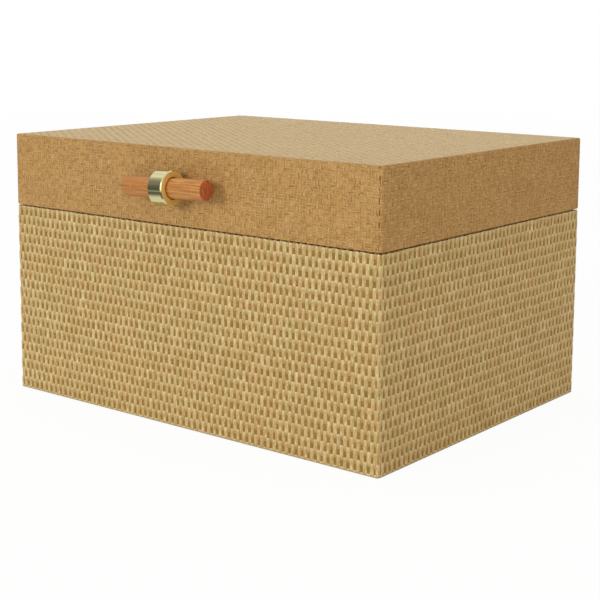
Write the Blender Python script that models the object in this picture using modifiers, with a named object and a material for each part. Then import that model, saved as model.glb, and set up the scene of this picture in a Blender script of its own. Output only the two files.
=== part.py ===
"""Hinged keepsake box covered in woven straw, with a wooden pull held in a metal ring.

Metres, +Z up. The origin is the middle of the footprint, on the table. The front, with the pull, faces -Y,
and the hinges are along the back, at +Y.

The box is built as such boxes are: mitred boards, a woven covering folded round them and turned in over the
rims, lining panels inside, two butt hinges on the rims, and a pull screwed on from inside the lid.
"""

import math

import bmesh
import bpy
from mathutils import Matrix, Vector

# Overall sizes
BOX_WIDTH = 0.305
BOX_DEPTH = 0.234
BODY_HEIGHT = 0.128
LID_HEIGHT = 0.048
RIM_GAP = 0.001

# Rounded edges of the covering
CORNER_ROUND = 0.002
LID_TOP_ROUND = 0.0012
RIM_ROUND = 0.0005
FOOT_ROUND = 0.0005

# Boards, coverings and linings
BOARD_THICKNESS = 0.005
COVER_THICKNESS = 0.001
TURN_IN_THICKNESS = 0.0006
TURN_IN_HEIGHT = 0.012
TURN_UNDER = 0.018
REBATE_DEPTH = 0.0025
LINING_THICKNESS = 0.0012
LINING_SETBACK = 0.002
LINING_EDGE = 0.0003
FLOOR_PAD_THICKNESS = 0.0015
LID_PAD_THICKNESS = 0.0015
GLUE_LINE = 0.0003

# Butt hinges: their axis lies this far inside the back face, halfway up the rim gap
HINGE_INSET = 0.00065
HINGE_FROM_END = 0.0575
HINGE_LENGTH = 0.03
KNUCKLE_COUNT = 5
KNUCKLE_GAP = 0.0003
BARREL_RADIUS = 0.002
PIN_RADIUS = 0.0009
PIN_CLEARANCE = 0.0003
PIN_HEAD_RADIUS = 0.0015
PIN_HEAD_HEIGHT = 0.0006
LEAF_THICKNESS = 0.0008
LEAF_REACH = 0.006
HINGE_CLEARANCE = 0.0003

# Countersunk screws of the hinges
HINGE_SCREW_SPACING = 0.018
HINGE_SCREW_RADIUS = 0.0007
HINGE_SCREW_HEAD_RADIUS = 0.0014
HINGE_SCREW_LENGTH = 0.009
HINGE_SCREW_POINT = 0.0015
HINGE_SCREW_SLOT = 0.0004
HINGE_SCREW_SLOT_DEPTH = 0.0003
SCREW_CLEARANCE = 0.0002

# The pull: a metal ring on the lid's face, and the wooden dowel that it holds
PULL_HEIGHT_ON_LID = 0.0244
RING_RADIUS = 0.011
RING_LENGTH = 0.0115
RING_FLAT_DEPTH = 0.0004
RING_OUTER_CHAMFER = 0.0007
RING_BORE_CHAMFER = 0.0004
DOWEL_RADIUS = 0.00635
DOWEL_LENGTH = 0.0664
DOWEL_EDGE = 0.0003
DOWEL_CLEARANCE = 0.0004

# The pull's machine screw and washer, sunk in the lid's front board
PULL_SCREW_RADIUS = 0.0015
PULL_SCREW_HEAD_RADIUS = 0.0028
PULL_SCREW_HEAD_HEIGHT = 0.0015
PULL_SCREW_HEAD_EDGE = 0.0005
PULL_SCREW_BITE = 0.003
PULL_SCREW_SLOT = 0.0008
PULL_SCREW_SLOT_DEPTH = 0.0007
WASHER_RADIUS = 0.0035
WASHER_THICKNESS = 0.0005
COUNTERBORE_DEPTH = 0.003

# How far a cutter runs past what it cuts, and how closely meeting points are merged
OVERRUN = 0.003
MERGE_DISTANCE = 0.00001

# Facets round the turned pieces and over the rounded edges
RING_STEPS = 56
DOWEL_STEPS = 40
BARREL_STEPS = 24
SCREW_STEPS = 16
CORNER_SEGMENTS = 4
EDGE_SEGMENTS = 3
SMOOTH_ANGLE = math.radians(35)

# Distances inwards from the outer face of the box, layer by layer
BOARD_OUTSIDE = COVER_THICKNESS + GLUE_LINE
BOARD_INSIDE = BOARD_OUTSIDE + BOARD_THICKNESS
TURN_IN_OUTSIDE = BOARD_INSIDE + GLUE_LINE
TURN_IN_INSIDE = TURN_IN_OUTSIDE + TURN_IN_THICKNESS
LINING_OUTSIDE = TURN_IN_INSIDE + GLUE_LINE
LINING_INSIDE = LINING_OUTSIDE + LINING_THICKNESS

# Heights of the body's layers, from the table up
BOARD_FOOT = COVER_THICKNESS + GLUE_LINE
FLOOR_TOP = BOARD_FOOT + BOARD_THICKNESS
FLOOR_PAD_BOTTOM = FLOOR_TOP + GLUE_LINE
FLOOR_PAD_TOP = FLOOR_PAD_BOTTOM + FLOOR_PAD_THICKNESS
BODY_BOARD_TOP = BODY_HEIGHT - COVER_THICKNESS - GLUE_LINE

# Heights of the lid's layers, from its rim up
LID_RIM = BODY_HEIGHT + RIM_GAP
LID_TOP = LID_RIM + LID_HEIGHT
LID_BOARD_FOOT = LID_RIM + COVER_THICKNESS + GLUE_LINE
LID_PANEL_TOP = LID_TOP - COVER_THICKNESS - GLUE_LINE
LID_PANEL_BOTTOM = LID_PANEL_TOP - BOARD_THICKNESS
LID_PAD_TOP = LID_PANEL_BOTTOM - GLUE_LINE
LID_PAD_BOTTOM = LID_PAD_TOP - LID_PAD_THICKNESS

# Hinge sizes and places that follow from the above
HINGE_SPACING = BOX_WIDTH - 2 * HINGE_FROM_END
HINGE_AXIS = Vector((0, BOX_DEPTH / 2 - HINGE_INSET, BODY_HEIGHT + RIM_GAP / 2))
LEAF_SEAT = RIM_GAP / 2 + COVER_THICKNESS
KNUCKLE_PITCH = HINGE_LENGTH / KNUCKLE_COUNT
BARREL_ROOM = BARREL_RADIUS + HINGE_CLEARANCE
PIN_BORE = PIN_RADIUS + PIN_CLEARANCE
PIN_LENGTH = HINGE_LENGTH + 2 * HINGE_CLEARANCE
BARREL_SLOT = PIN_LENGTH + 2 * PIN_HEAD_HEIGHT + 2 * HINGE_CLEARANCE
LEAF_SCREW_REACH = (BARREL_ROOM + LEAF_REACH) / 2

# Pull sizes and places that follow from the above
PULL_REACH = GLUE_LINE - RING_FLAT_DEPTH + RING_RADIUS
PULL_AXIS = Vector((0, -BOX_DEPTH / 2 - PULL_REACH, LID_RIM + PULL_HEIGHT_ON_LID))
SUNK_FACE = -BOX_DEPTH / 2 + BOARD_INSIDE - COUNTERBORE_DEPTH
PULL_SCREW_SEAT = SUNK_FACE + WASHER_THICKNESS + 2 * GLUE_LINE
PULL_SCREW_TIP = PULL_AXIS.y + DOWEL_RADIUS - PULL_SCREW_BITE

FRONT_BACK = (("front", -1), ("back", 1))
LEFT_RIGHT = (("left", -1), ("right", 1))
UPSIDE_DOWN = Matrix.Rotation(math.pi, 4, "X")
ALONG_X = Matrix.Rotation(math.pi / 2, 4, "Y")
ALONG_Y = Matrix.Rotation(-math.pi / 2, 4, "X")
UPRIGHT = Matrix.Identity(4)


def srgb(red, green, blue):
    """Turn a colour as seen, 0 to 255, into the linear values that a finish takes."""
    levels = [value / 255 for value in (red, green, blue)]
    return [v / 12.92 if v <= 0.04045 else ((v + 0.055) / 1.055) ** 2.4 for v in levels] + [1]


# Finishes: colour, roughness, metallic
STRAW = (srgb(214, 188, 138), 0.7, 0)
TAN_WEAVE = (srgb(184, 144, 92), 0.62, 0)
FIBREBOARD = (srgb(176, 146, 108), 0.85, 0)
LINING = (srgb(222, 208, 182), 0.95, 0)
FELT = (srgb(92, 78, 62), 0.95, 0)
PALE_BRASS = (srgb(206, 190, 138), 0.28, 1)
HINGE_BRASS = (srgb(200, 168, 98), 0.35, 1)
STEEL = (srgb(186, 186, 182), 0.4, 1)
OAK = (srgb(193, 138, 84), 0.5, 0)


def clear_scene():
    """Remove whatever the scene holds."""
    for item in list(bpy.data.objects):
        bpy.data.objects.remove(item, do_unlink=True)


def new_collection(name):
    """Add a collection to the scene."""
    made = bpy.data.collections.new(name)
    bpy.context.scene.collection.children.link(made)
    return made


clear_scene()
PARTS = new_collection("keepsake_box")
CUTTERS = new_collection("cutters_and_joined_shapes")


def new_finish(name, look):
    """Make one piece's own finish."""
    colour, roughness, metallic = look
    made = bpy.data.materials.new(name)
    made.use_nodes = True
    made.diffuse_color = colour
    shader = made.node_tree.nodes["Principled BSDF"]
    shader.inputs["Base Color"].default_value = colour
    shader.inputs["Roughness"].default_value = roughness
    shader.inputs["Metallic"].default_value = metallic
    return made


def place(item, centre, parent, turn):
    """Put an object at a place in the world, under the empty that carries it."""
    offset = parent.location if parent else Vector((0, 0, 0))
    item.parent = parent
    item.location = Vector(centre) - offset
    item.rotation_euler = turn.to_euler()


def add_piece(name, mesh, look, centre, parent=None, turn=UPRIGHT):
    """Add one sub-part of the box, with its own finish."""
    item = bpy.data.objects.new(name, mesh)
    PARTS.objects.link(item)
    mesh.materials.append(new_finish(name, look))
    place(item, centre, parent, turn)
    return item


def add_shape(name, mesh, centre, parent=None, turn=UPRIGHT):
    """Add a shape that is only cut out of, or joined to, other pieces."""
    item = bpy.data.objects.new(name, mesh)
    CUTTERS.objects.link(item)
    item.hide_render = True
    item.display_type = "WIRE"
    place(item, centre, parent, turn)
    return item


def combine(item, other, operation):
    """Cut a shape out of a piece, or join it on."""
    boolean = item.modifiers.new(operation.lower(), "BOOLEAN")
    boolean.operation = operation
    boolean.object = other
    boolean.solver = "EXACT"


def cut(item, *others):
    """Cut shapes out of a piece."""
    for other in others:
        combine(item, other, "DIFFERENCE")


def join(item, *others):
    """Join shapes on to a piece."""
    for other in others:
        combine(item, other, "UNION")


def repeat(item, count, step):
    """Repeat an object along the box's X, at equal steps."""
    array = item.modifiers.new("repeat", "ARRAY")
    array.count = count
    array.use_relative_offset = False
    array.use_constant_offset = True
    array.constant_offset_displace = item.rotation_euler.to_matrix().transposed() @ Vector((step, 0, 0))


def smooth(mesh):
    """Shade a mesh smooth, with only its hard edges sharp."""
    mesh.shade_smooth()
    mesh.set_sharp_from_angle(angle=SMOOTH_ANGLE)
    return mesh


def to_mesh(shape):
    """Turn a worked shape into a mesh, and free the shape."""
    mesh = bpy.data.meshes.new("shape")
    shape.to_mesh(mesh)
    shape.free()
    return smooth(mesh)


def block_shape(width, depth, height):
    """Start a block, centred on its own origin."""
    shape = bmesh.new()
    bmesh.ops.create_cube(shape, size=1)
    bmesh.ops.scale(shape, vec=(width, depth, height), verts=shape.verts)
    return shape


def block(width, depth, height):
    """Make the mesh of a plain block."""
    return to_mesh(block_shape(width, depth, height))


def cylinder(radius, length, steps):
    """Make the mesh of a cylinder along Z, centred on its own origin."""
    shape = bmesh.new()
    bmesh.ops.create_cone(shape, cap_ends=True, segments=steps, radius1=radius, radius2=radius, depth=length)
    return to_mesh(shape)


def turned(points, steps, closed=False):
    """Turn a profile round Z, as on a lathe, and make its mesh.

    Args: points are (radius, height), down the outer side from the top. A closed profile leaves a bore.
    """
    shape = bmesh.new()
    corners = [shape.verts.new((radius, 0, height)) for radius, height in points]
    for start, end in zip(corners, corners[1:]):
        shape.edges.new((start, end))
    if closed:
        shape.edges.new((corners[-1], corners[0]))
    blank = add_shape("profile", to_mesh(shape), (0, 0, 0))
    screw = blank.modifiers.new("turned", "SCREW")
    screw.axis = "Z"
    screw.angle = 2 * math.pi
    screw.steps = steps
    screw.render_steps = steps
    screw.use_merge_vertices = True
    screw.merge_threshold = MERGE_DISTANCE
    mesh = bpy.data.meshes.new_from_object(blank.evaluated_get(bpy.context.evaluated_depsgraph_get()))
    bpy.data.objects.remove(blank)
    return smooth(mesh)


def round_edges(shape, edges, radius, segments):
    """Round some edges of a shape."""
    bmesh.ops.bevel(shape, geom=edges, offset=radius, segments=segments, profile=0.5, affect="EDGES",
                    clamp_overlap=True)


def level_edges(shape, height):
    """Find the edges that lie at one height."""
    def at_height(vert):
        return abs(vert.co.z - height) < MERGE_DISTANCE
    return [edge for edge in shape.edges if at_height(edge.verts[0]) and at_height(edge.verts[1])]


def upright_edges(shape):
    """Find the edges that run straight up."""
    def is_upright(edge):
        run = edge.verts[0].co - edge.verts[1].co
        return run.xy.length < MERGE_DISTANCE
    return [edge for edge in shape.edges if is_upright(edge)]


def rounded_case(height, top_round, bottom_round):
    """Make the outer form of a covering: a block of the footprint with rounded edges all round."""
    shape = block_shape(BOX_WIDTH, BOX_DEPTH, height)
    round_edges(shape, upright_edges(shape), CORNER_ROUND, CORNER_SEGMENTS)
    round_edges(shape, level_edges(shape, height / 2), top_round, EDGE_SEGMENTS)
    round_edges(shape, level_edges(shape, -height / 2), bottom_round, EDGE_SEGMENTS)
    return to_mesh(shape)


def inner_block(name, inset, low, high, parent=None):
    """Add a block that stands inside the box, in from its outer face all round, between two heights."""
    mesh = block(BOX_WIDTH - 2 * inset, BOX_DEPTH - 2 * inset, high - low)
    return add_shape(name, mesh, (0, 0, (low + high) / 2), parent)


def covering(name, look, low, high, rounds, closed_end, parent=None):
    """Add a woven covering: folded round the boards, over the rim and down the inside of it.

    closed_end is the end away from the rim: 1 for the lid, whose covering closes its top, and -1 for the
    body, whose covering is turned under at its foot.
    """
    rim = low if closed_end == 1 else high
    turn_in_end = rim + closed_end * TURN_IN_HEIGHT
    far_side = rim - closed_end * OVERRUN
    item = add_piece(name, rounded_case(high - low, *rounds), look, (0, 0, (low + high) / 2), parent)
    room = inner_block(name + "_room", COVER_THICKNESS, low + COVER_THICKNESS, high - COVER_THICKNESS, parent)
    turned_in = inner_block(name + "_turned_in", TURN_IN_OUTSIDE, *sorted((far_side, turn_in_end)), parent)
    past_turn_in = turn_in_end + closed_end * OVERRUN
    mouth = inner_block(name + "_mouth", TURN_IN_INSIDE, *sorted((far_side, past_turn_in)), parent)
    cut(room, turned_in)
    cut(item, room, mouth)
    return item


def mitred_board(name, side, along, low, high, parent=None):
    """Add an upright board of the box, with both ends mitred to meet its neighbours.

    Args: side is -1 or 1 for the side of the axis that it faces, and along is the axis that it runs along.
    """
    outer_length = (BOX_WIDTH if along == "X" else BOX_DEPTH) - 2 * BOARD_OUTSIDE - 2 * GLUE_LINE
    shape = block_shape(outer_length, BOARD_THICKNESS, high - low)
    for vert in shape.verts:
        if vert.co.y < 0:
            vert.co.x -= math.copysign(BOARD_THICKNESS, vert.co.x)
    mesh = to_mesh(shape)
    reach = (BOX_DEPTH if along == "X" else BOX_WIDTH) / 2 - BOARD_OUTSIDE - BOARD_THICKNESS / 2
    if along == "X":
        centre = (0, side * reach, (low + high) / 2)
        turn = UPRIGHT if side == 1 else Matrix.Rotation(math.pi, 4, "Z")
    else:
        centre = (side * reach, 0, (low + high) / 2)
        turn = Matrix.Rotation(-side * math.pi / 2, 4, "Z")
    return add_piece(name, mesh, FIBREBOARD, centre, parent, turn)


def four_boards(prefix, low, high, parent=None):
    """Add the four mitred boards of the body or of the lid."""
    boards = {}
    for word, side in FRONT_BACK:
        boards[word] = mitred_board(f"{prefix}_{word}_board", side, "X", low, high, parent)
    for word, side in LEFT_RIGHT:
        boards[word] = mitred_board(f"{prefix}_{word}_board", side, "Y", low, high, parent)
    return boards


def flat_panel(name, look, inset, low, high, parent=None, edge=0):
    """Add a flat panel that lies level, in from the box's outer face all round."""
    shape = block_shape(BOX_WIDTH - 2 * inset, BOX_DEPTH - 2 * inset, high - low)
    if edge:
        round_edges(shape, list(shape.edges), edge, 1)
    return add_piece(name, to_mesh(shape), look, (0, 0, (low + high) / 2), parent)


def lining_panel(name, width, depth, centre, low, high, parent):
    """Add one upright lining panel, a card covered in cloth with soft edges."""
    shape = block_shape(width, depth, high - low)
    round_edges(shape, list(shape.edges), LINING_EDGE, 1)
    add_piece(name, to_mesh(shape), LINING, (*centre, (low + high) / 2), parent)


def four_linings(prefix, low, high, parent=None):
    """Add the four lining panels: front and back the full width, and the ends between them."""
    middle = LINING_OUTSIDE + LINING_THICKNESS / 2
    full_width = BOX_WIDTH - 2 * LINING_OUTSIDE
    between = BOX_DEPTH - 2 * LINING_INSIDE - 2 * GLUE_LINE
    for word, side in FRONT_BACK:
        centre = (0, side * (BOX_DEPTH / 2 - middle))
        lining_panel(f"{prefix}_lining_{word}", full_width, LINING_THICKNESS, centre, low, high, parent)
    for word, side in LEFT_RIGHT:
        centre = (side * (BOX_WIDTH / 2 - middle), 0)
        lining_panel(f"{prefix}_lining_{word}", LINING_THICKNESS, between, centre, low, high, parent)


def build_body():
    """Build the body: boards, floor, covering, underside sheet and linings."""
    boards = four_boards("body", BOARD_FOOT, BODY_BOARD_TOP)
    rebate_inset = BOARD_INSIDE - REBATE_DEPTH
    rebate = inner_block("floor_rebate", rebate_inset, BOARD_FOOT - OVERRUN, FLOOR_TOP + GLUE_LINE)
    for board in boards.values():
        cut(board, rebate)
    flat_panel("body_floor_board", FIBREBOARD, rebate_inset + GLUE_LINE, BOARD_FOOT, FLOOR_TOP)
    wrap = covering("body_covering", STRAW, 0, BODY_HEIGHT, (RIM_ROUND, FOOT_ROUND), -1)
    cut(wrap, inner_block("underside_opening", TURN_UNDER, -OVERRUN, COVER_THICKNESS + OVERRUN))
    flat_panel("underside_sheet", FELT, TURN_UNDER + GLUE_LINE, 0, COVER_THICKNESS)
    flat_panel("body_lining_floor", LINING, TURN_IN_OUTSIDE, FLOOR_PAD_BOTTOM, FLOOR_PAD_TOP,
               edge=LINING_EDGE)
    four_linings("body", FLOOR_PAD_TOP + GLUE_LINE, BODY_HEIGHT - LINING_SETBACK)
    return boards, wrap


def build_lid(carrier):
    """Build the lid: boards, top panel, covering and linings."""
    boards = four_boards("lid", LID_BOARD_FOOT, LID_PANEL_BOTTOM - GLUE_LINE, carrier)
    flat_panel("lid_top_board", FIBREBOARD, BOARD_OUTSIDE, LID_PANEL_BOTTOM, LID_PANEL_TOP, carrier)
    wrap = covering("lid_covering", TAN_WEAVE, LID_RIM, LID_TOP, (LID_TOP_ROUND, RIM_ROUND), 1, carrier)
    flat_panel("lid_lining_top", LINING, TURN_IN_OUTSIDE, LID_PAD_BOTTOM, LID_PAD_TOP, carrier,
               edge=LINING_EDGE)
    four_linings("lid", LID_RIM + LINING_SETBACK, LID_PAD_BOTTOM - GLUE_LINE, carrier)
    return boards, wrap


def cut_hinge_room(name, centre_x, facing, board, wrap, carrier):
    """Cut the room for one half of a hinge: a window in the covering, a barrel hollow, and screw holes.

    Args: facing is -1 for the body's half, which lies below the axis, and 1 for the lid's.
    """
    window_inner = LEAF_REACH + OVERRUN
    window_outer = HINGE_INSET + OVERRUN
    window_height = LEAF_SEAT + GLUE_LINE
    middle = HINGE_AXIS + Vector((centre_x, (window_outer - window_inner) / 2, facing * window_height / 2))
    window_size = (HINGE_LENGTH + 2 * HINGE_CLEARANCE, window_outer + window_inner, window_height)
    window = add_shape(name + "_window", block(*window_size), middle, carrier)
    hollow = add_shape(name + "_hollow", cylinder(BARREL_ROOM, BARREL_SLOT, BARREL_STEPS),
                       HINGE_AXIS + Vector((centre_x, 0, 0)), carrier, ALONG_X)
    hole = cylinder(HINGE_SCREW_RADIUS + SCREW_CLEARANCE, 2 * (HINGE_SCREW_LENGTH + LEAF_SEAT), SCREW_STEPS)
    first_screw = HINGE_AXIS + Vector((centre_x - HINGE_SCREW_SPACING / 2, -LEAF_SCREW_REACH, 0))
    holes = add_shape(name + "_screw_holes", hole, first_screw, carrier)
    repeat(holes, 2, HINGE_SCREW_SPACING)
    cut(wrap, window, hollow)
    cut(board, hollow, holes)


def add_leaf(name, centre_x, facing, first_knuckle, carrier):
    """Add one leaf of a hinge: a plate on the rim, with every other knuckle round the pin.

    Args: facing is -1 for the body's leaf and 1 for the lid's, and first_knuckle is 0 or 1.
    """
    count = (KNUCKLE_COUNT - first_knuckle + 1) // 2
    first_x = centre_x - HINGE_LENGTH / 2 + (first_knuckle + 0.5) * KNUCKLE_PITCH
    knuckle_length = KNUCKLE_PITCH - KNUCKLE_GAP
    level = facing * (LEAF_SEAT - LEAF_THICKNESS / 2)
    plate_size = (HINGE_LENGTH - KNUCKLE_GAP, LEAF_REACH - BARREL_ROOM, LEAF_THICKNESS)
    plate_middle = HINGE_AXIS + Vector((centre_x, -(LEAF_REACH + BARREL_ROOM) / 2, level))
    leaf = add_piece(name, block(*plate_size), HINGE_BRASS, plate_middle, carrier)

    tongue_end = (BARREL_RADIUS + PIN_BORE) / 2 - HINGE_CLEARANCE
    tongue_start = BARREL_ROOM + LEAF_THICKNESS / 2
    tongue = block(knuckle_length, tongue_start - tongue_end, LEAF_THICKNESS)
    tongue_middle = HINGE_AXIS + Vector((first_x, -(tongue_start + tongue_end) / 2, level))
    tongues = add_shape(name + "_tongues", tongue, tongue_middle, carrier)
    knuckles = add_shape(name + "_knuckles", cylinder(BARREL_RADIUS, knuckle_length, BARREL_STEPS),
                         HINGE_AXIS + Vector((first_x, 0, 0)), carrier, ALONG_X)
    for shape in (tongues, knuckles):
        repeat(shape, count, 2 * KNUCKLE_PITCH)

    bore = add_shape(name + "_bore", cylinder(PIN_BORE, HINGE_LENGTH + 2 * OVERRUN, SCREW_STEPS),
                     HINGE_AXIS + Vector((centre_x, 0, 0)), carrier, ALONG_X)
    mouth = HINGE_SCREW_HEAD_RADIUS + SCREW_CLEARANCE
    shank = HINGE_SCREW_RADIUS + SCREW_CLEARANCE
    sink = [(0, OVERRUN), (mouth, OVERRUN), (mouth, 0), (shank, shank - mouth),
            (shank, -OVERRUN), (0, -OVERRUN)]
    sinks = add_shape(name + "_sinks", turned(sink, SCREW_STEPS), screw_place(centre_x, facing, -1), carrier,
                      facing_turn(facing))
    repeat(sinks, 2, HINGE_SCREW_SPACING)
    join(leaf, tongues, knuckles)
    cut(leaf, bore, sinks)


def facing_turn(facing):
    """Give the turn of a screw whose head faces the rim gap."""
    return UPRIGHT if facing == -1 else UPSIDE_DOWN


def screw_place(centre_x, facing, side):
    """Give the place of one screw of a hinge half, at its leaf's face, with side -1 for the left one."""
    face = facing * (LEAF_SEAT - LEAF_THICKNESS)
    return HINGE_AXIS + Vector((centre_x + side * HINGE_SCREW_SPACING / 2, -LEAF_SCREW_REACH, face))


def add_hinge_screw(name, centre, facing, carrier):
    """Add one countersunk screw, with its slotted head flush in the leaf."""
    sink = HINGE_SCREW_HEAD_RADIUS - HINGE_SCREW_RADIUS
    profile = [(0, 0), (HINGE_SCREW_HEAD_RADIUS, 0), (HINGE_SCREW_RADIUS, -sink),
               (HINGE_SCREW_RADIUS, HINGE_SCREW_POINT - HINGE_SCREW_LENGTH), (0, -HINGE_SCREW_LENGTH)]
    turn = facing_turn(facing)
    screw = add_piece(name, turned(profile, SCREW_STEPS), HINGE_BRASS, centre, carrier, turn)
    slot_size = (HINGE_SCREW_SLOT, 2 * HINGE_SCREW_HEAD_RADIUS + OVERRUN, 2 * HINGE_SCREW_SLOT_DEPTH)
    cut(screw, add_shape(name + "_slot", block(*slot_size), centre, carrier))


def add_pin(name, centre_x, carrier):
    """Add a hinge's pin, with a small domed head at each end."""
    end = PIN_LENGTH / 2
    half = [(0, end + PIN_HEAD_HEIGHT), (PIN_HEAD_RADIUS - PIN_HEAD_HEIGHT, end + PIN_HEAD_HEIGHT),
            (PIN_HEAD_RADIUS, end + PIN_HEAD_HEIGHT / 2), (PIN_HEAD_RADIUS, end), (PIN_RADIUS, end)]
    profile = half + [(radius, -height) for radius, height in reversed(half)]
    middle = HINGE_AXIS + Vector((centre_x, 0, 0))
    add_piece(name, turned(profile, SCREW_STEPS), HINGE_BRASS, middle, carrier, ALONG_X)


def build_hinges(body_board, body_wrap, lid_board, lid_wrap, carrier):
    """Build both butt hinges, and cut the rims to take them."""
    for word, side in LEFT_RIGHT:
        name = f"hinge_{word}"
        centre_x = side * HINGE_SPACING / 2
        cut_hinge_room(name + "_body_room", centre_x, -1, body_board, body_wrap, None)
        cut_hinge_room(name + "_lid_room", centre_x, 1, lid_board, lid_wrap, carrier)
        add_leaf(name + "_body_leaf", centre_x, -1, 0, None)
        add_leaf(name + "_lid_leaf", centre_x, 1, 1, carrier)
        add_pin(name + "_pin", centre_x, None)
        for half, facing, holder in (("body", -1, None), ("lid", 1, carrier)):
            for number, screw_side in ((1, -1), (2, 1)):
                screw_name = f"{name}_{half}_screw_{number}"
                add_hinge_screw(screw_name, screw_place(centre_x, facing, screw_side), facing, holder)


def along_pull(y):
    """Give a place on the line of the pull's screw."""
    return Vector((PULL_AXIS.x, y, PULL_AXIS.z))


def bar_along_y(name, radius, start, end, carrier):
    """Add a round shape on the line of the pull's screw, between two places along Y."""
    bar = cylinder(radius, end - start, BARREL_STEPS)
    return add_shape(name, bar, along_pull((start + end) / 2), carrier, ALONG_Y)


def build_pull(front_board, wrap, carrier):
    """Build the pull: the turned ring, the dowel in it, and the screw and washer inside the lid."""
    half = RING_LENGTH / 2
    bore = DOWEL_RADIUS + DOWEL_CLEARANCE
    ring_profile = [(RING_RADIUS - RING_OUTER_CHAMFER, half), (RING_RADIUS, half - RING_OUTER_CHAMFER),
                    (RING_RADIUS, RING_OUTER_CHAMFER - half), (RING_RADIUS - RING_OUTER_CHAMFER, -half),
                    (bore + RING_BORE_CHAMFER, -half), (bore, RING_BORE_CHAMFER - half),
                    (bore, half - RING_BORE_CHAMFER), (bore + RING_BORE_CHAMFER, half)]
    ring_mesh = turned(ring_profile, RING_STEPS, closed=True)
    ring = add_piece("pull_ring", ring_mesh, PALE_BRASS, PULL_AXIS, carrier, ALONG_X)
    flat_start = PULL_AXIS.y + RING_RADIUS - RING_FLAT_DEPTH
    flat = add_shape("pull_ring_flat", block(2 * RING_LENGTH, OVERRUN, 2 * RING_RADIUS),
                     along_pull(flat_start + OVERRUN / 2), carrier)

    end = DOWEL_LENGTH / 2
    dowel_profile = [(0, end), (DOWEL_RADIUS - DOWEL_EDGE, end), (DOWEL_RADIUS, end - DOWEL_EDGE),
                     (DOWEL_RADIUS, DOWEL_EDGE - end), (DOWEL_RADIUS - DOWEL_EDGE, -end), (0, -end)]
    dowel = add_piece("pull_dowel", turned(dowel_profile, DOWEL_STEPS), OAK, PULL_AXIS, carrier, ALONG_X)

    hole = bar_along_y("pull_screw_hole", PULL_SCREW_RADIUS + GLUE_LINE, PULL_SCREW_TIP - GLUE_LINE,
                       SUNK_FACE + OVERRUN, carrier)
    sunk = bar_along_y("pull_counterbore", WASHER_RADIUS + GLUE_LINE, SUNK_FACE,
                       SUNK_FACE + COUNTERBORE_DEPTH + OVERRUN, carrier)
    cut(ring, flat, hole)
    cut(dowel, hole)
    cut(wrap, hole)
    cut(front_board, hole, sunk)

    inner = PULL_SCREW_RADIUS + GLUE_LINE
    thick = WASHER_THICKNESS / 2
    washer_profile = [(WASHER_RADIUS, thick), (WASHER_RADIUS, -thick), (inner, -thick), (inner, thick)]
    add_piece("pull_washer", turned(washer_profile, BARREL_STEPS, closed=True), STEEL,
              along_pull(SUNK_FACE + GLUE_LINE + thick), carrier, ALONG_Y)
    head_top = PULL_SCREW_HEAD_HEIGHT
    reach = PULL_SCREW_SEAT - PULL_SCREW_TIP
    head_rim = PULL_SCREW_HEAD_RADIUS - PULL_SCREW_HEAD_EDGE
    screw_profile = [(0, head_top), (head_rim, head_top),
                     (PULL_SCREW_HEAD_RADIUS, head_top - PULL_SCREW_HEAD_EDGE),
                     (PULL_SCREW_HEAD_RADIUS, 0), (PULL_SCREW_RADIUS, 0),
                     (PULL_SCREW_RADIUS, PULL_SCREW_HEAD_EDGE - reach),
                     (PULL_SCREW_RADIUS - PULL_SCREW_HEAD_EDGE, -reach), (0, -reach)]
    screw_mesh = turned(screw_profile, BARREL_STEPS)
    screw = add_piece("pull_screw", screw_mesh, STEEL, along_pull(PULL_SCREW_SEAT), carrier, ALONG_Y)
    slot = block(2 * PULL_SCREW_HEAD_RADIUS + OVERRUN, 2 * PULL_SCREW_SLOT_DEPTH, PULL_SCREW_SLOT)
    cut(screw, add_shape("pull_screw_slot", slot, along_pull(PULL_SCREW_SEAT + head_top), carrier))


def main():
    """Build the whole box. The lid's pieces hang on an empty that stands on the hinge axis."""
    carrier = bpy.data.objects.new("lid_on_hinge_axis", None)
    PARTS.objects.link(carrier)
    carrier.location = HINGE_AXIS
    body_boards, body_wrap = build_body()
    lid_boards, lid_wrap = build_lid(carrier)
    build_hinges(body_boards["back"], body_wrap, lid_boards["back"], lid_wrap, carrier)
    build_pull(lid_boards["front"], lid_wrap, carrier)


main()
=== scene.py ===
"""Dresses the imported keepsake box: straw weave, paper weave, brass, wood, linings, and a plain studio.

Metres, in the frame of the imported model: the front with the pull faces -Y, the hinges are along +Y,
and the origin is the middle of the footprint. Weaves are drawn flat on the front wall's plane, one strand
modelled and copied, and then folded round the box as the cloth of the real one is.
"""

from __future__ import annotations

import logging
import math
from collections.abc import Callable
from dataclasses import dataclass, replace
from enum import Enum
from functools import reduce

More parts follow.
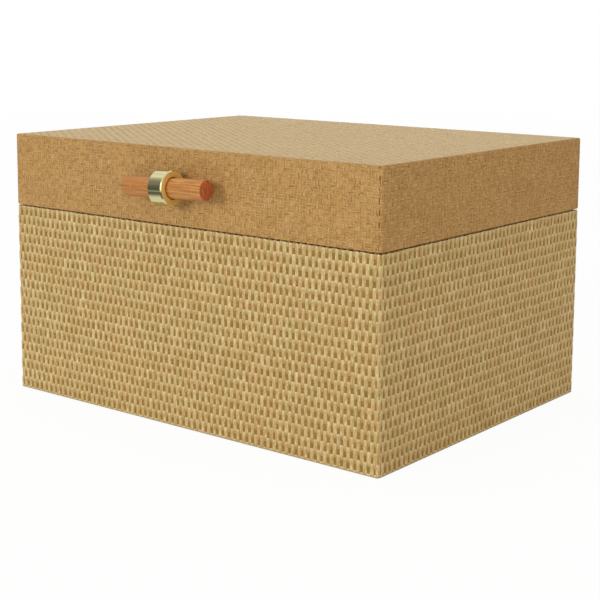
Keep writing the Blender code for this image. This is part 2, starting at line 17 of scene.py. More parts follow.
import bmesh
import bpy
import numpy as np
from mathutils import Euler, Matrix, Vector

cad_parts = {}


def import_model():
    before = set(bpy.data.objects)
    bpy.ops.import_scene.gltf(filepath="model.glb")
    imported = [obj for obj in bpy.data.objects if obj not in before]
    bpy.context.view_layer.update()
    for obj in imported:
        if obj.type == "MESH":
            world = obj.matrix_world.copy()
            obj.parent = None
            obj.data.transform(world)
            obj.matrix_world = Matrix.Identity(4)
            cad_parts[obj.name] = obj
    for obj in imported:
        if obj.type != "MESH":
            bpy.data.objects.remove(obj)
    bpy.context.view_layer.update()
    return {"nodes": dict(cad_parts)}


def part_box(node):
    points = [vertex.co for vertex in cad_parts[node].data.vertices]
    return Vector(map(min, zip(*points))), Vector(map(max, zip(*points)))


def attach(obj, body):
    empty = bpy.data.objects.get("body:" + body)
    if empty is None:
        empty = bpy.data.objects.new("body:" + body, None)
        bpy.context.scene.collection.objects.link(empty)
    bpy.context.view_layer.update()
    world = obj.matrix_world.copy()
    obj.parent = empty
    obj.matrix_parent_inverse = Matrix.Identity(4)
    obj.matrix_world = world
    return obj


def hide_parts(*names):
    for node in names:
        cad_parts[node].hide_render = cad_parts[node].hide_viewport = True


log = logging.getLogger("keepsake_box")

# A colour written as red, green and blue from 0 to 255, a place, size or linear colour in three parts, two
# ends or two sides of something, and a weave's cell by its place across and up and its number.
Tint = tuple[int, int, int]
Spot = tuple[float, float, float]
Pair = tuple[float, float]
Cell = tuple[float, float, int]

# How a finish tells its values: a pattern by how many of its grains lie on a metre and by its detail, a rise
# by where it starts and ends and by the most that it gives, where that isn't 1, and a relief by its depth in
# metres and its strength.
Grain = tuple[float, float]
Rise = tuple[float, ...]
Relief = tuple[float, float]

# Places closer than this count as one, in metres, and a length below the second counts as none.
SAME = 1e-6
NOTHING = 1e-9

# How far from a wall's corners its sheets and threads are cut across, so that they bend there.
CORNER_CUTS = (0.0007, 0.0013, 0.002)

# How much of a face's normal lies along an axis, up to 1, where the face looks that way and where it is
# square to the axis, with no chamfer let in.
FACING = 0.9
SQUARE = 0.99

# How the straw and the paper pale at a grazing angle: in which tint, and how softly.
SHEEN_TINT = (1.0, 0.94, 0.72)
SHEEN_ROUGHNESS = 0.3


class Wall(Enum):
    """A wall of the box, by its quarter turns from the front, seen from above."""

    FRONT = 0
    RIGHT = 1
    BACK = 2
    LEFT = 3

    @property
    def label(self) -> str:
        """Give the wall's name as the pieces spell it."""
        return self.name.lower()

    @property
    def is_long(self) -> bool:
        """Say whether the wall runs along the width of the box."""
        return self in (Wall.FRONT, Wall.BACK)


class Carrier(Enum):
    """The two bodies that pieces ride on."""

    BODY = "body"
    LID = "lid"


def rgb(red: int, green: int, blue: int) -> tuple[float, float, float, float]:
    """Turn a colour written 0 to 255 into the linear colour that shaders take.

    Args:
        red: Red from 0 to 255.
        green: Green from 0 to 255.
        blue: Blue from 0 to 255.

    Returns:
        The linear red, green, blue and an alpha of 1.
    """
    shares = [value / 255 for value in (red, green, blue)]
    linear = [share / 12.92 if share <= 0.04045 else ((share + 0.055) / 1.055) ** 2.4 for share in shares]
    return (linear[0], linear[1], linear[2], 1.0)


def paint(colour: object) -> object:
    """Turn a colour written 0 to 255 into a linear one, and leave a socket or a linear colour as it is."""
    return rgb(*colour) if isinstance(colour, tuple) and len(colour) == 3 else colour


def only(piece: bpy.types.Object) -> None:
    """Select one object alone and make it active.

    Args:
        piece: The object.
    """
    bpy.ops.object.select_all(action="DESELECT")
    piece.select_set(True)
    bpy.context.view_layer.objects.active = piece


def name_it(name: str) -> bpy.types.Object:
    """Name the object that an operator has just added, and its mesh.

    Args:
        name: The name.

    Returns:
        The object.
    """
    piece = bpy.context.active_object
    piece.name = name
    piece.data.name = name
    return piece


def start_block(name: str, low: Vector, high: Vector) -> bpy.types.Object:
    """Add a box between two corners, to be shaped further.

    Args:
        name: The piece's name.
        low: The lowest corner.
        high: The highest corner.

    Returns:
        The new object, at the origin, with its place in its mesh.
    """
    bpy.ops.object.select_all(action="DESELECT")
    bpy.ops.mesh.primitive_cube_add(size=1, location=(low + high) / 2)
    piece = name_it(name)
    piece.scale = high - low
    bpy.ops.object.transform_apply(location=True, rotation=True, scale=True)
    return piece


def start_bar(name: str, radius: float, length: float, centre: Vector, sides: int) -> bpy.types.Object:
    """Add a round bar that lies along X, to be shaped further.

    Args:
        name: The piece's name.
        radius: The bar's radius.
        length: The bar's length.
        centre: The bar's middle.
        sides: How many sides it has round its axis.

    Returns:
        The new object, at the origin, with its place in its mesh.
    """
    bpy.ops.object.select_all(action="DESELECT")
    bpy.ops.mesh.primitive_cylinder_add(vertices=sides, radius=radius, depth=length, location=centre,
                                        rotation=(0, math.pi / 2, 0))
    piece = name_it(name)
    bpy.ops.object.transform_apply(location=True, rotation=True, scale=True)
    return piece


def open_edit(piece: bpy.types.Object) -> None:
    """Open one object in edit mode with nothing selected.

    Args:
        piece: The object.
    """
    only(piece)
    bpy.ops.object.mode_set(mode="EDIT")
    bpy.ops.mesh.select_mode(type="VERT")
    bpy.ops.mesh.select_all(action="DESELECT")


def close_edit() -> None:
    """Go back to object mode."""
    bpy.ops.object.mode_set(mode="OBJECT")


def pick(piece: bpy.types.Object, kind: str, wanted: Callable[..., bool]) -> None:
    """Select points, edges or faces of the object in edit mode, and nothing else.

    Args:
        piece: The object in edit mode.
        kind: VERT, EDGE or FACE.
        wanted: Says whether one bmesh item is selected.
    """
    bpy.ops.mesh.select_mode(type=kind)
    bpy.ops.mesh.select_all(action="DESELECT")
    form = bmesh.from_edit_mesh(piece.data)
    for item in {"VERT": form.verts, "EDGE": form.edges, "FACE": form.faces}[kind]:
        if wanted(item):
            item.select = True
    form.select_flush_mode()
    bmesh.update_edit_mesh(piece.data)


def middle(item: bmesh.types.BMEdge) -> Vector:
    """Give an edge's middle."""
    return (item.verts[0].co + item.verts[1].co) / 2


def round_edges(piece: bpy.types.Object, wanted: Callable[..., bool], size: float, segments: int,
                clamp: bool = False) -> None:
    """Bevel the wanted edges of the object in edit mode, clamped or not where two bevels would cross."""
    pick(piece, "EDGE", wanted)
    bpy.ops.mesh.bevel(offset=size, segments=segments, affect="EDGES", clamp_overlap=clamp)


def delete_faces(piece: bpy.types.Object, wanted: Callable[..., bool]) -> None:
    """Delete some faces of a piece.

    Args:
        piece: The object, in object mode.
        wanted: Says whether one face goes.
    """
    open_edit(piece)
    pick(piece, "FACE", wanted)
    bpy.ops.mesh.delete(type="FACE")
    close_edit()


def face_outwards() -> None:
    """Point every face of the object in edit mode outwards."""
    bpy.ops.mesh.select_all(action="SELECT")
    bpy.ops.mesh.normals_make_consistent(inside=False)


def cut_across(piece: bpy.types.Object, points: list[Vector], normal: Vector) -> None:
    """Cut new rows of edges through the whole piece, which stays in one.

    Args:
        piece: The object, in object mode.
        points: A point on each cut's plane.
        normal: The direction square to the cuts.
    """
    open_edit(piece)
    for point in points:
        bpy.ops.mesh.select_all(action="SELECT")
        bpy.ops.mesh.bisect(plane_co=point, plane_no=normal, use_fill=False)
    close_edit()


def cut_by_corners(piece: bpy.types.Object, reach: float, others: tuple[float, ...] = ()) -> None:
    """Cut a flat piece across near the ends of its wall, so that it bends there, and at other places."""
    near = [sign * (reach - distance) for sign in (-1, 1) for distance in CORNER_CUTS]
    cut_across(piece, [Vector((place, 0, 0)) for place in (*near, *others)], Vector((1, 0, 0)))


def turn_mesh(piece: bpy.types.Object, angle: float, axis: str, centre: Vector | Spot) -> None:
    """Turn a piece's whole mesh about one axis.

    Args:
        piece: The object, in object mode.
        angle: The operator's angle in radians, which turns the other way round where there is no window.
        axis: X, Y or Z.
        centre: The point that stays in its place.
    """
    open_edit(piece)
    bpy.ops.mesh.select_all(action="SELECT")
    bpy.ops.transform.rotate(value=angle, orient_axis=axis, center_override=centre)
    close_edit()


def turn_to_wall(piece: bpy.types.Object, wall: Wall) -> None:
    """Turn a piece drawn on the front wall to another wall, about the middle of the box."""
    if wall is not Wall.FRONT:
        turn_mesh(piece, -wall.value * math.pi / 2, "Z", (0, 0, 0))


def read_points(piece: bpy.types.Object) -> np.ndarray:
    """Read the places of a piece's points.

    Args:
        piece: The object.

    Returns:
        One row of three parts for each point.
    """
    points = np.empty(len(piece.data.vertices) * 3)
    piece.data.vertices.foreach_get("co", points)
    return points.reshape(-1, 3)


def write_points(piece: bpy.types.Object, points: np.ndarray) -> None:
    """Move a piece's points to new places, one row for each."""
    piece.data.vertices.foreach_set("co", points.ravel())
    piece.data.update()


def smooth_by_angle(piece: bpy.types.Object, degrees: float) -> None:
    """Shade a piece smooth, apart from edges sharper than an angle."""
    only(piece)
    bpy.ops.object.shade_smooth_by_angle(angle=math.radians(degrees))


def dress(piece: bpy.types.Object, material: bpy.types.Material) -> None:
    """Give a piece one material all over."""
    piece.data.materials.clear()
    piece.data.materials.append(material)


def enlist(piece: bpy.types.Object, carrier: Carrier, slot: str, *nodes: str) -> None:
    """Attach a piece to the body that carries it, and hide the CAD nodes that it replaces.

    Args:
        piece: The finished object.
        carrier: The body that it rides on.
        slot: Not used.
        nodes: The CAD nodes that it replaces.
    """
    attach(piece, carrier.value)
    if nodes:
        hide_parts(*nodes)
    log.info("%s rides on %s: %d faces", piece.name, carrier.value, len(piece.data.polygons))


def hand_over(piece: bpy.types.Object, degrees: float, material: bpy.types.Material, carrier: Carrier,
              slot: str, *nodes: str) -> None:
    """Smooth a finished piece, dress it all over and enlist it.

    Args:
        piece: The finished object.
        degrees: The edges sharper than this angle stay sharp.
        material: Its finish.
        carrier: The body that it rides on.
        slot: The record's material slot.
        nodes: The CAD nodes that it replaces.
    """
    smooth_by_angle(piece, degrees)
    dress(piece, material)
    enlist(piece, carrier, slot, *nodes)


class Nodes:
    """A node tree, whose nodes are added and linked one at a time."""

    def __init__(self, tree: bpy.types.NodeTree) -> None:
        """Keep the tree that the nodes are added to."""
        self.tree = tree

    def feed(self, node: bpy.types.Node, inputs: dict[str | int, object]) -> None:
        """Link some inputs of a node, or write constants into them.

        Args:
            node: The node.
            inputs: A socket or a constant for each input, by its name or number.
        """
        for key, value in inputs.items():
            if isinstance(value, bpy.types.NodeSocket):
                self.tree.links.new(value, node.inputs[key])
            else:
                node.inputs[key].default_value = value

    def node(self, kind: str, inputs: dict[str | int, object] | None = None,
             **settings: object) -> bpy.types.Node:
        """Add a node, set its properties and feed its inputs.

        Args:
            kind: The node's type, without the word ShaderNode.
            inputs: A socket or a constant for each input, by its name or number.
            settings: Its properties by name.

        Returns:
            The new node.
        """
        made = self.tree.nodes.new("ShaderNode" + kind)
        for key, value in settings.items():
            setattr(made, key, value)
        self.feed(made, inputs or {})
        return made

    def maths(self, operation: str, first: object, second: object = 0.0,
              third: object = 0.0) -> bpy.types.NodeSocket:
        """Add a Math node and give its result."""
        return self.node("Math", {0: first, 1: second, 2: third}, operation=operation).outputs[0]

    def greatest(self, *values: object) -> bpy.types.NodeSocket:
        """Give the greatest of several values."""
        return reduce(lambda one, other: self.maths("MAXIMUM", one, other), values)

    def seen(self) -> bpy.types.NodeSocket:
        """Give 1 to what the camera sees, also by way of metal or glass, and 0 to all other light."""
        path = self.node("LightPath").outputs
        return self.greatest(path["Is Camera Ray"], path["Is Glossy Ray"], path["Is Transmission Ray"])


class Shader(Nodes):
    """A material built on one principled shader."""

    def __init__(self, name: str) -> None:
        """Start a material of this name.

        Args:
            name: The material's name.
        """
        self.material = bpy.data.materials.new(name)
        self.material.use_nodes = True
        super().__init__(self.material.node_tree)
        self.surface = self.tree.nodes["Principled BSDF"]

    def ease(self, value: object, start: float, end: float, most: float = 1.0) -> bpy.types.NodeSocket:
        """Rise smoothly from 0 at the start to the most at the end."""
        inputs = {"Value": value, "From Min": start, "From Max": end, "To Max": most}
        return self.node("MapRange", inputs, interpolation_type="SMOOTHSTEP").outputs["Result"]

    def spread(self, value: object, low: float, high: float) -> bpy.types.NodeSocket:
        """Stretch a value between 0 and 1 to run from low to high."""
        return self.node("MapRange", {"Value": value, "To Min": low, "To Max": high}).outputs["Result"]

    def blend(self, share: object, first: object, second: object) -> bpy.types.NodeSocket:
        """Mix two colours by a share.

        Args:
            share: How much of the second colour there is.
            first: The colour at 0.
            second: The colour at 1.

        Returns:
            The mixed colour.
        """
        made = self.node("Mix", {"Factor": share}, data_type="RGBA")
        colours = [number for number, socket in enumerate(made.inputs) if socket.type == "RGBA"]
        self.feed(made, dict(zip(colours, (paint(first), paint(second)))))
        return next(socket for socket in made.outputs if socket.type == "RGBA")

    def stops(self, value: object, colours: list[tuple[float, tuple]]) -> bpy.types.NodeSocket:
        """Run a value through a colour ramp.

        Args:
            value: The socket that drives the ramp.
            colours: The stops, each a place from 0 to 1 and a colour.

        Returns:
            The ramp's colour.
        """
        made = self.node("ValToRGB", {"Fac": value})
        ramp = made.color_ramp
        while len(ramp.elements) < len(colours):
            ramp.elements.new(0.5)
        for element, (place, colour) in zip(ramp.elements, colours):
            element.position = place
            element.color = paint(colour)
        return made.outputs["Color"]

    def scaled(self, vector: bpy.types.NodeSocket, factors: Spot) -> bpy.types.NodeSocket:
        """Stretch a vector's three parts."""
        return self.node("Mapping", {"Vector": vector, "Scale": factors}).outputs["Vector"]

    def noise(self, vector: bpy.types.NodeSocket, scale: float, detail: float) -> bpy.types.NodeSocket:
        """Add a noise pattern on a vector."""
        return self.node("TexNoise", {"Vector": vector, "Scale": scale, "Detail": detail}).outputs["Fac"]

    def place(self) -> bpy.types.NodeSocket:
        """Give the object's own coordinates, in metres."""
        return self.node("TexCoord").outputs["Object"]

    def parts(self, vector: bpy.types.NodeSocket) -> list[bpy.types.NodeSocket]:
        """Split a vector into its three parts."""
        return list(self.node("SeparateXYZ", {0: vector}).outputs)

    def strand(self) -> tuple[list[bpy.types.NodeSocket], list[bpy.types.NodeSocket]]:
        """Read what a woven strand's points hold.

        Returns:
            The strand's lay, which is its across and along, and its three chance values.
        """
        lay = self.node("UVMap", uv_map="lay").outputs["UV"]
        chance = self.node("Attribute", attribute_name="chance").outputs["Vector"]
        return self.parts(lay), self.parts(chance)

    def streaks(self, across: object, along: object, chance: object, counts: Spot,
                detail: float) -> bpy.types.NodeSocket:
        """Draw streaks along a strand, others on each.

        Args:
            across: The place across the strand.
            along: The place along it.
            chance: The strand's own chance value.
            counts: How closely streaks lie across and along, and how far the chance value moves them.
            detail: The noise's detail.

        Returns:
            The streaks, from 0 to 1.
        """
        wander = self.maths("MULTIPLY", chance, counts[2])
        place = self.node("CombineXYZ", {0: self.maths("MULTIPLY_ADD", across, counts[0], wander),
                                         1: self.maths("MULTIPLY", along, counts[1])})
        return self.noise(place.outputs[0], 1.0, detail)

    def bump(self, height: object, depth: float, strength: float) -> None:
        """Raise the surface by a height from 0 to 1, times a depth in metres."""
        made = self.node("Bump", {"Strength": strength, "Distance": depth, "Height": height})
        self.feed(self.surface, {"Normal": made.outputs["Normal"]})

    def matt(self, gloss: float, sheen: float, tint: Spot = SHEEN_TINT) -> None:
        """Set how glossy the surface is, and how much and in which tint it pales at a grazing angle."""
        self.feed(self.surface, {"Specular IOR Level": gloss, "Sheen Weight": sheen,
                                 "Sheen Roughness": SHEEN_ROUGHNESS, "Sheen Tint": (*tint, 1)})

    def coat(self, colour: object, roughness: object, metallic: float = 0.0) -> bpy.types.Material:
        """Finish the surface with its colour, roughness and metal, and give the material."""
        self.feed(self.surface, {"Base Color": colour, "Roughness": roughness, "Metallic": metallic})
        return self.material


@dataclass(frozen=True)
class Straw:
    """Split straw: each strand its own tint, fine fibres along it, painted highlights at its crown and on
    some fibres, and painted shade at its foot, where it dives under.
    """

    name: str = "split_straw"
    gold: Tint = (199, 167, 107)
    cream: Tint = (211, 186, 132)
    green: Tint = (192, 168, 106)
    blush: Tint = (200, 163, 107)
    # A darker tone for some straws and fibres, which also paints the shade at each straw's foot.
    shade: Tint = (150, 126, 70)
    # The colour of the painted highlights at each straw's crown and on its paler fibres.
    pale: Tint = (242, 227, 184)
    gloss: float = 0.2
    sheen: float = 0.05
    roughness: float = 0.5
    # Where the tints lie along the straws' first chance value: green, gold, cream, gold and blush.
    tint_places: tuple[float, ...] = (0.0, 0.3, 0.55, 0.8, 1.0)
    most_shaded: float = 0.22
    # How closely the fibres lie across and along a straw, and how far its chance value moves them.
    fibres: Spot = (5.0, 2.4, 40.0)
    fibre_detail: float = 2.0
    fibre_relief: Relief = (0.00012, 0.7)
    dark_fibres: Rise = (0.5, 0.3, 0.5)
    # Painted highlights on the paler fibres and at each straw's crown.
    painted_fibre_highlights: Rise = (0.50, 0.70, 0.7)
    painted_crown_highlight: Rise = (0.22, 0.0, 0.45)
    # Painted shade at each straw's foot, where it dives under the next row.
    painted_foot_shade: Rise = (0.62, 0.95, 0.5)

    def material(self) -> bpy.types.Material:
        """Build the straw's material.

        Returns:
            The material.
        """
        shader = Shader(self.name)
        (across, along, _), (first, second, third) = shader.strand()
        tints = (self.green, self.gold, self.cream, self.gold, self.blush)
        tint = shader.stops(first, list(zip(self.tint_places, tints)))
        fibre = shader.streaks(across, along, third, self.fibres, self.fibre_detail)
        own = shader.blend(shader.spread(second, 0.0, self.most_shaded), tint, self.shade)
        dark = shader.blend(shader.ease(fibre, *self.dark_fibres), own, self.shade)
        # Painted highlights at each straw's crown and on its paler fibres.
        painted_highlight_share = shader.greatest(shader.ease(along, *self.painted_crown_highlight), shader.ease(fibre, *self.painted_fibre_highlights))
        bright = shader.blend(painted_highlight_share, dark, self.pale)
        # Painted shade at the foot, where the straw dives under the next row.
        foot_shaded = shader.blend(shader.ease(along, *self.painted_foot_shade), bright, self.shade)
        shader.bump(fibre, *self.fibre_relief)
        shader.matt(self.gloss, self.sheen)
        return shader.coat(foot_shaded, self.roughness)


@dataclass(frozen=True)
class Thread:
    """The cross threads behind the straw: brown, some of them red or olive, with painted shade in the grooves
    between them.
    """

    name: str = "cross_threads"
    brown: Tint = (186, 147, 74)
    red: Tint = (198, 143, 76)
    olive: Tint = (177, 142, 70)
    worn: Tint = (122, 94, 44)
    # The colour of the painted shade in the grooves between threads.
    painted_groove_shade: Tint = (86, 58, 28)
    pitch: float = 0.00085
    start: float = -0.0175
    crest: float = 0.485
    roughness: float = 0.8
    # Where the tints lie along the patches' values: olive, brown, brown and red.
    patches: Grain = (150.0, 0.0)
    tint_places: tuple[float, ...] = (0.30, 0.44, 0.62, 0.76)
    most_uneven: float = 0.3
    twists: Grain = (2600.0, 1.0)
    most_twisted: float = 0.4
    twist_relief: Relief = (0.0001, 0.5)
    # How the painted shade in the grooves darkens with the distance from a thread's crest, by shares of the
    # pitch.
    groove_shade_rise: Rise = (0.27, 0.46, 0.8)

    def material(self) -> bpy.types.Material:
        """Build the threads' material.

        Returns:
            The material.
        """
        shader = Shader(self.name)
        patch = shader.noise(shader.place(), *self.patches)
        tints = (self.olive, self.brown, self.brown, self.red)
        tone = shader.stops(patch, list(zip(self.tint_places, tints)))
        height = shader.maths("SUBTRACT", shader.parts(shader.place())[2], self.start)
        number = shader.maths("DIVIDE", height, self.pitch)
        off = shader.maths("ABSOLUTE", shader.maths("SUBTRACT", shader.maths("FRACT", number), self.crest))
        own = shader.node("TexWhiteNoise", {"W": shader.maths("FLOOR", number)}, noise_dimensions="1D")
        uneven = shader.blend(shader.spread(own.outputs["Value"], 0.0, self.most_uneven), tone, self.worn)
        twist = shader.noise(shader.place(), *self.twists)
        twisted = shader.blend(shader.spread(twist, 0.0, self.most_twisted), uneven, self.worn)
        # Painted shade in the grooves between the threads.
        groove_shaded = shader.blend(shader.ease(off, *self.groove_shade_rise), twisted, self.painted_groove_shade)
        shader.bump(twist, *self.twist_relief)
        return shader.coat(groove_shaded, self.roughness)


@dataclass(frozen=True)
class Paper:
    """Flat paper strips, tan, with fine lines along each, and painted shade at their edges and in a cleft
    along their middle.
    """

    name: str = "paper_strips"
    tan: Tint = (203, 163, 105)
    warm: Tint = (200, 160, 97)
    straw: Tint = (206, 168, 112)
    # A dark tone for the patches, the lines and the specks, which also paints the shade at the strips' edges
    # and in their cleft.
    dark_tone_and_shade: Tint = (106, 64, 12)
    gloss: float = 0.08
    sheen: float = 0.04
    lines: float = 0.56
    tint: Spot = SHEEN_TINT
    roughness: float = 0.52
    patches: Grain = (70.0, 1.0)
    most_uneven: float = 0.20
    # How closely the lines lie across and along a strip, and how far its chance value moves them.
    line_counts: Spot = (9.0, 0.6, 60.0)
    line_rise: Rise = (0.52, 0.30)
    line_relief: Relief = (0.00010, 0.7)
    grits: Grain = (1500.0, 1.0)
    grit_rise: Rise = (0.5, 0.3, 0.45)
    # The painted shade at the edges and in the cleft, by the distance from a strip's middle as a share of its
    # width.
    edge_shade_rise: Rise = (0.40, 0.47)
    most_edge_shade: float = 0.6
    cleft_shade_rise: Rise = (0.08, 0.02)

    def material(self) -> bpy.types.Material:
        """Build the paper's material.

        Returns:
            The material.
        """
        shader = Shader(self.name)
        (across, along, _), (first, second, third) = shader.strand()
        tint = shader.stops(first, [(0.0, self.warm), (0.5, self.tan), (1.0, self.straw)])
        line = shader.streaks(across, along, second, self.line_counts, 0.0)
        patch = shader.noise(shader.place(), *self.patches)
        grit = shader.ease(shader.noise(shader.place(), *self.grits), *self.grit_rise)
        uneven = shader.blend(shader.spread(patch, 0.0, self.most_uneven), tint, self.dark_tone_and_shade)
        lined = shader.blend(shader.ease(line, *self.line_rise, self.lines), uneven, self.dark_tone_and_shade)
        # Painted shade in the crevices at a strip's edges and in the cleft along its middle.
        off = shader.maths("ABSOLUTE", shader.maths("SUBTRACT", across, 0.5))
        edge = shader.maths("MULTIPLY", shader.ease(off, *self.edge_shade_rise),
                            shader.spread(third, 0.0, self.most_edge_shade))
        cleft_shade = shader.maths("MULTIPLY", shader.ease(off, *self.cleft_shade_rise),
                             shader.spread(second, 0.0, self.lines))
        crevice_shaded = shader.blend(shader.greatest(edge, cleft_shade, grit), lined, self.dark_tone_and_shade)
        shader.bump(line, *self.line_relief)
        shader.matt(self.gloss, self.sheen, self.tint)
        return shader.coat(crevice_shaded, self.roughness)


@dataclass(frozen=True)
class Brass:
    """Turned brass: fine lines round the axis, which lies along X, and soft wear."""

    name: str
    colour: Tint
    roughness: float
    metal: float = 1.0
    line_count: float = 9000.0
    line_relief: Relief = (0.000004, 0.35)
    # The wear: its pattern, the least and most roughness by shares, and how much paler the bright places are.
    wear: Grain = (420.0, 3.0)
    wear_shares: Pair = (0.7, 1.35)
    paler: int = 8

    def material(self) -> bpy.types.Material:
        """Build the brass.

        Returns:
            The material.
        """
        shader = Shader(self.name)
        along = shader.maths("MULTIPLY", shader.parts(shader.place())[0], self.line_count)
        lines = shader.node("TexNoise", {"W": along}, noise_dimensions="1D")
        haze = shader.noise(shader.place(), *self.wear)
        rough = shader.spread(haze, *(self.roughness * share for share in self.wear_shares))
        pale = tuple(min(255, value + self.paler) for value in self.colour)
        shader.bump(lines.outputs["Fac"], *self.line_relief)
        return shader.coat(shader.blend(haze, self.colour, pale), rough, self.metal)


@dataclass(frozen=True)
class Steel:
    """Plain bright steel of the pull's screw and washer."""

    name: str = "screw_steel_finish"
    dark: Tint = (176, 176, 174)
    light: Tint = (198, 198, 196)
    patches: Grain = (900.0, 2.0)
    roughness: Pair = (0.24, 0.40)

    def material(self) -> bpy.types.Material:
        """Build the steel.

        Returns:
            The material.
        """
        shader = Shader(self.name)
        haze = shader.noise(shader.place(), *self.patches)
        rough = shader.spread(haze, *self.roughness)
        return shader.coat(shader.blend(haze, self.dark, self.light), rough, 1.0)


@dataclass(frozen=True)
class DowelWood:
    """The dowel's straight-grained wood, along X, and its darker sawn ends."""

    light: Tint = (214, 155, 81)
    dark: Tint = (158, 99, 40)
    left_end_tone: Tint = (164, 98, 40)
    ring: Tint = (186, 122, 66)
    fleck: Tint = (214, 162, 104)
    end: Tint = (198, 108, 56)
    end_ring: Tint = (164, 80, 38)
    pore: Tint = (120, 56, 26)
    side_roughness: float = 0.48
    end_roughness: float = 0.7
    # Each pattern of the wood: how it is stretched along X, Y and Z, its grains, and how it shows.
    fine_stretch: Spot = (0.02, 1.0, 1.0)
    fine_grain: Grain = (2200.0, 4.0)
    fine_rise: Rise = (0.34, 0.68)
    fine_relief: Relief = (0.00005, 0.6)
    broad_stretch: Spot = (0.04, 1.0, 1.0)
    broad_grain: Grain = (420.0, 2.0)
    most_broad: float = 0.45
    fleck_stretch: Spot = (1.0, 0.25, 0.25)
    fleck_grain: Grain = (900.0, 2.0)
    fleck_rise: Rise = (0.55, 0.72, 0.28)
    ring_stretch: Spot = (0.0, 1.0, 0.22)
    ring_grain: Grain = (900.0, 2.0)
    ring_rise: Rise = (0.35, 0.65)
    pore_stretch: Spot = (1.0, 1.0, 0.35)
    pore_grain: Grain = (2600.0, 3.0)
    pore_rise: Rise = (0.42, 0.68, 0.6)
    pore_relief: Relief = (0.00006, 0.6)
    # How the wood darkens towards its left end, by the place along X.
    left_end_rise: Rise = (0.01, -0.02, 0.4)

    def side(self) -> bpy.types.Material:
        """Build the wood of the turned side.

        Returns:
            The material.
        """
        shader = Shader("dowel_side")
        fine = shader.noise(shader.scaled(shader.place(), self.fine_stretch), *self.fine_grain)
        broad = shader.noise(shader.scaled(shader.place(), self.broad_stretch), *self.broad_grain)
        fleck = shader.noise(shader.scaled(shader.place(), self.fleck_stretch), *self.fleck_grain)
        along = shader.parts(shader.place())[0]
        body = shader.blend(shader.ease(fine, *self.fine_rise), self.dark, self.light)
        left_end_tone = shader.blend(shader.ease(along, *self.left_end_rise), body, self.left_end_tone)
        toned = shader.blend(shader.spread(broad, 0.0, self.most_broad), left_end_tone, self.ring)
        flecked = shader.blend(shader.ease(fleck, *self.fleck_rise), toned, self.fleck)
        shader.bump(fine, *self.fine_relief)
        return shader.coat(flecked, self.side_roughness)

    def sawn(self) -> bpy.types.Material:
        """Build the wood of the sawn ends.

        Returns:
            The material.
        """
        shader = Shader("dowel_end")
        pores = shader.noise(shader.scaled(shader.place(), self.pore_stretch), *self.pore_grain)
        rings = shader.noise(shader.scaled(shader.place(), self.ring_stretch), *self.ring_grain)
        tone = shader.blend(shader.ease(rings, *self.ring_rise), self.end, self.end_ring)
        pored = shader.blend(shader.ease(pores, *self.pore_rise), tone, self.pore)
        shader.bump(pores, *self.pore_relief)
        return shader.coat(pored, self.end_roughness)


@dataclass(frozen=True)
class Board:
    """Pressed board under the coverings."""

    name: str = "pressed_board"
    dark: Tint = (150, 120, 86)
    light: Tint = (186, 156, 116)
    roughness: float = 0.85
    chip_stretch: Spot = (1.0, 1.0, 2.5)
    chip_grain: Grain = (700.0, 4.0)
    chip_relief: Relief = (0.0001, 0.5)

    def material(self) -> bpy.types.Material:
        """Build the board.

        Returns:
            The material.
        """
        shader = Shader(self.name)
        chips = shader.noise(shader.scaled(shader.place(), self.chip_stretch), *self.chip_grain)
        shader.bump(chips, *self.chip_relief)
        return shader.coat(shader.blend(chips, self.dark, self.light), self.roughness)


@dataclass(frozen=True)
class Cloth:
    """A fine plain-woven cloth glued on card, with slubs and some thicker yarns."""

    name: str
    colour: Tint
    dark: Tint
    thread: float = 0.0007
    thread_relief: Relief = (0.0001, 0.6)
    roughness: float = 0.85
    # The thicker yarns, which run along X, Y or Z, stretched to this share that way.
    yarn_stretch: float = 0.05
    yarn_grain: Grain = (1300.0, 1.0)
    yarn_rise: Rise = (0.55, 0.72, 0.5)
    slub_grain: Grain = (240.0, 3.0)
    most_slubbed: float = 0.3

    def material(self) -> bpy.types.Material:
        """Build the cloth.

        Returns:
            The material.
        """
        shader = Shader(self.name)
        place = shader.place()
        turns = 2 * math.pi / self.thread
        waves = [shader.maths("SINE", shader.maths("MULTIPLY", part, turns)) for part in shader.parts(place)]
        weave = shader.maths("MULTIPLY", shader.maths("ADD", waves[0], waves[1]), waves[2])
        sheet = shader.maths("ADD", weave, shader.maths("MULTIPLY", waves[0], waves[1]))
        # The sum of the waves runs from -2 to 2, and the threads from 0 to 1.
        threads = shader.spread(shader.maths("MULTIPLY_ADD", sheet, 0.25, 0.5), 0.0, 1.0)
        tone = shader.blend(threads, self.dark, self.colour)
        ways = range(3)
        stretches = [tuple(self.yarn_stretch if axis == way else 1.0 for axis in ways) for way in ways]
        yarns = [shader.noise(shader.scaled(place, stretch), *self.yarn_grain) for stretch in stretches]
        yarned = shader.blend(shader.ease(shader.greatest(*yarns), *self.yarn_rise), tone, self.dark)
        slubs = shader.spread(shader.noise(place, *self.slub_grain), 0.0, self.most_slubbed)
        shader.bump(threads, *self.thread_relief)
        return shader.coat(shader.blend(slubs, yarned, self.dark), self.roughness)


@dataclass(frozen=True)
class Felt:
    """A thin pressed felt, uneven in tone."""

    name: str
    colour: Tint
    dark: Tint
    roughness: float = 0.95
    fuzz_grain: Grain = (3200.0, 4.0)
    fuzz_relief: Relief = (0.0003, 0.7)
    patch_grain: Grain = (240.0, 3.0)
    most_patched: float = 0.4

    def material(self) -> bpy.types.Material:
        """Build the felt.

        Returns:
            The material.
        """
        shader = Shader(self.name)
        fuzz = shader.noise(shader.place(), *self.fuzz_grain)
        patch = shader.spread(shader.noise(shader.place(), *self.patch_grain), 0.0, self.most_patched)
        tone = shader.blend(fuzz, self.dark, self.colour)
        shader.bump(fuzz, *self.fuzz_relief)
        return shader.coat(shader.blend(patch, tone, self.dark), self.roughness)


